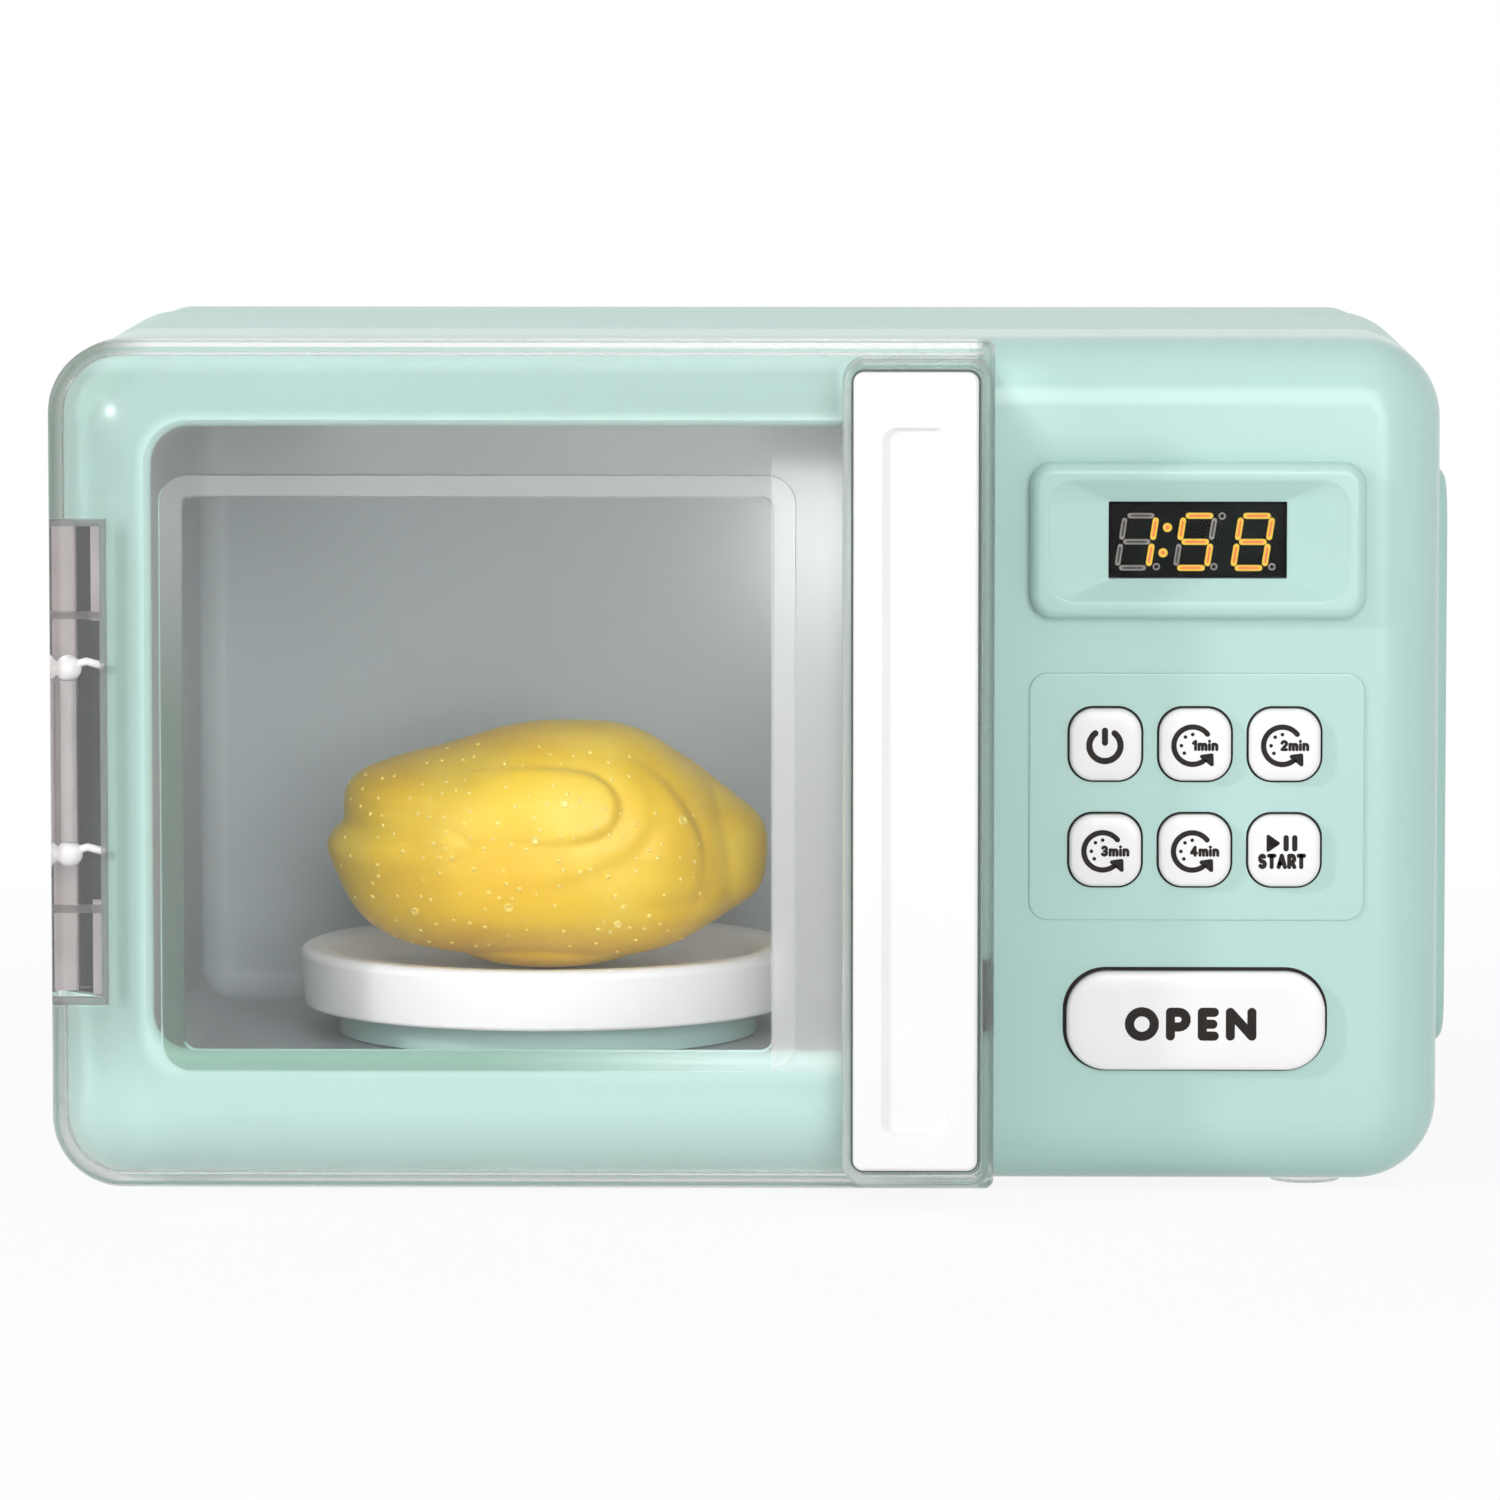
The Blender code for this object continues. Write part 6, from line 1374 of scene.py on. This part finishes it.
def food_beads(skin):
    draw = random.Random(5)
    tree = BVHTree.FromBMesh(skin)
    mesh = bmesh.new()
    for start, ahead, count, drops in BEAD_SIDES:
        places = []
        while len(places) < count:
            x, z = (draw.uniform(*ends) for ends in BEAD_FIELD)
            if all((x - a) ** 2 + (z - b) ** 2 > BEAD_GAP ** 2 for a, b in places):
                places.append((x, z))
        for index, (x, z) in enumerate(places):
            middle, out, _, _ = tree.ray_cast((x, start, z), (0.0, ahead, 0.0))
            if middle is None:
                continue
            stand = Matrix.Translation(middle) @ out.to_track_quat("Z", "Y").to_matrix().to_4x4()
            if index < drops and abs(out.y) > 0.7:
                part = turned(DROP, (0, 0, 0), steps=16)
                merged([mesh, moved(part, stand @ Matrix.Scale(draw.uniform(0.85, 1.1), 4))])
            else:
                reach = draw.uniform(0.36, 0.55)
                size = Matrix.Diagonal((reach, reach, reach * 0.7, 1))
                ops.create_icosphere(mesh, subdivisions=2, radius=1.0, matrix=stand @ size)
    return mesh


VINYL = vinyl("yellow_vinyl", "E4B809", "E8C114", "EFD04A", 0.32)
PALE_VINYL = vinyl("pale_vinyl", "EFD25A", "F3DA6A", "F6E382", 0.5)
food_drops = food_beads(food_skin)
finished("vinyl_bird", food_skin, VINYL, "food", ["play_food"], 60)
finished("vinyl_beads", food_drops, PALE_VINYL, "food", crease=60)

# %% [markdown]
# ## The sleeve
# The middle of the body is a plain sleeve. Each side carries a raised pad, rounded like a
# pillow, which gives small hands a grip. It is drawn as a front and turned to the side.

# %% Make the sleeve
SLEEVE = (46.3, 121.0)
SIDE_PAD = (50.0, 106.0, 24.6, 149.6)
SOFT_EDGE = 0.6


def slice_of_body(front, back):
    """A slice of the body with softened edges."""
    small = BODY_CORNER - SOFT_EDGE
    return loft(inset_rows(BODY, (
        (SOFT_EDGE, small, front), (0, BODY_CORNER, front + SOFT_EDGE),
        (0, BODY_CORNER, back - SOFT_EDGE), (SOFT_EDGE, small, back))))


def side_pad(side):
    pad = moved(soft_block(SIDE_PAD, 12.0, 3.4, -4.1, 1.0),
                Matrix.Scale(side, 4, (1, 0, 0)) @ Matrix.Translation((BODY[1], 0, 0))
                @ Matrix.Rotation(radians(90), 4, "Z"))
    ops.recalc_face_normals(pad, faces=pad.faces)
    return pad


def sleeve():
    front, back = SLEEVE
    inner = straight(shrunk(BODY, WALL), BODY_CORNER - WALL, front - 4, back + 4)
    return worked(slice_of_body(front, back), [side_pad(-1), side_pad(1)], [inner])


finished("mint_sleeve", sleeve(), SLEEVE_MINT, "oven", ["housing"])

# %% [markdown]
# ## The back
# The rear cover steps in from the sleeve, is rounded like a cushion and has four deep
# wells for its screws, grille slots for the speaker and an opening for the hatch.

# %% Make the rear cover
REAR = (-137.0, 137.0, 3.5, 179.3)
REAR_CORNER = 9.5
REAR_ROUND = 7.0
REAR_FRONT = 121.3
BACK = 160.0
WELLS = ((-129.0, 11.5), (129.0, 11.5), (-129.0, 171.3), (129.0, 171.3))
WELL = ((0, 0), (3.4, 0), (3.4, 29.6), (4.6, 31.6), (4.6, 40), (0, 40))
SPEAKER = (90.0, 70.0)
GRILLE = 15.0


def rear_block(wall, front):
    """The cushion, or what is cut from inside it to leave a wall."""
    sides, corner = shrunk(REAR, wall), REAR_CORNER - wall
    return loft([(sides, corner, front),
                 *back_rows(sides, corner, REAR_ROUND - wall, BACK - wall, 0.8)])


def rear_cover():
    wells = [rod(6.2, (x, 126.0, z), 32.5, "Y") for x, z in WELLS]
    holes = []
    for x, z in WELLS:
        holes += [turned(WELL, (x, 128.5, z), "Y"), rod(1.8, (x, 120.0, z), 12.0, "Y")]
    low, high = (Vector(corner) * 1000 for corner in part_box("battery_cover"))
    holes.append(straight(shrunk((low.x, high.x, low.z, high.z), -0.3), 3.3, 150.0, 165.0))
    for index in range(6):
        up = (index - 2.5) * 4.6
        slot = about((SPEAKER[0], SPEAKER[1] + up), (2 * sqrt(GRILLE ** 2 - up ** 2), 2.0))
        holes.append(straight(slot, 0.95, 150.0, 165.0, 6))
    shell = worked(slice_of_body(REAR_FRONT, REAR_FRONT + 2.4), [rear_block(0, 122.0)],
                   [rear_block(WALL, 118.0)])
    return worked(shell, wells, holes)


finished("mint_back", rear_cover(), SLEEVE_MINT, "oven", ["rear_cover"])

# %% [markdown]
# ## The remaining CAD pieces
# Hatch, feet, gears, motor, board and cells keep their CAD shapes, which are already
# right. They only take their finishes here, by the material slot that the record names.

# %% Give the CAD pieces their finishes
FINISHES = {"mint_plastic": MINT, "white_plastic": WHITE, "clear_plastic": CLEAR,
            "smoked_plastic": SMOKED, "grey_plastic": GREY, "dark_plastic": DARK,
            "display_black": BLACK, "grey_rubber": RUBBER, "circuit_board": BOARD,
            "zinc_steel": STEEL, "brass": BRASS, "battery_wrap": WRAP, "lamp_lens": LENS,
            "red_wire": RED, "yellow_vinyl": VINYL}
FEET = clear("milky_foot", "F1F3F3", 1.25, (0.45, 0.55), edge="DDE1E1")
OWN_FINISHES = {"foot": FEET, "battery_cover": SLEEVE_MINT}
slots = {part["node"]: part["material_slot"] for part in frame["record"]["subparts"]}
for name, node in frame["nodes"].items():
    kind = "foot" if name.startswith("foot_") else name
    node.data.materials.clear()
    node.data.materials.append(OWN_FINISHES.get(kind, FINISHES[slots[name]]))
print("dressed", len(slots), "CAD pieces")
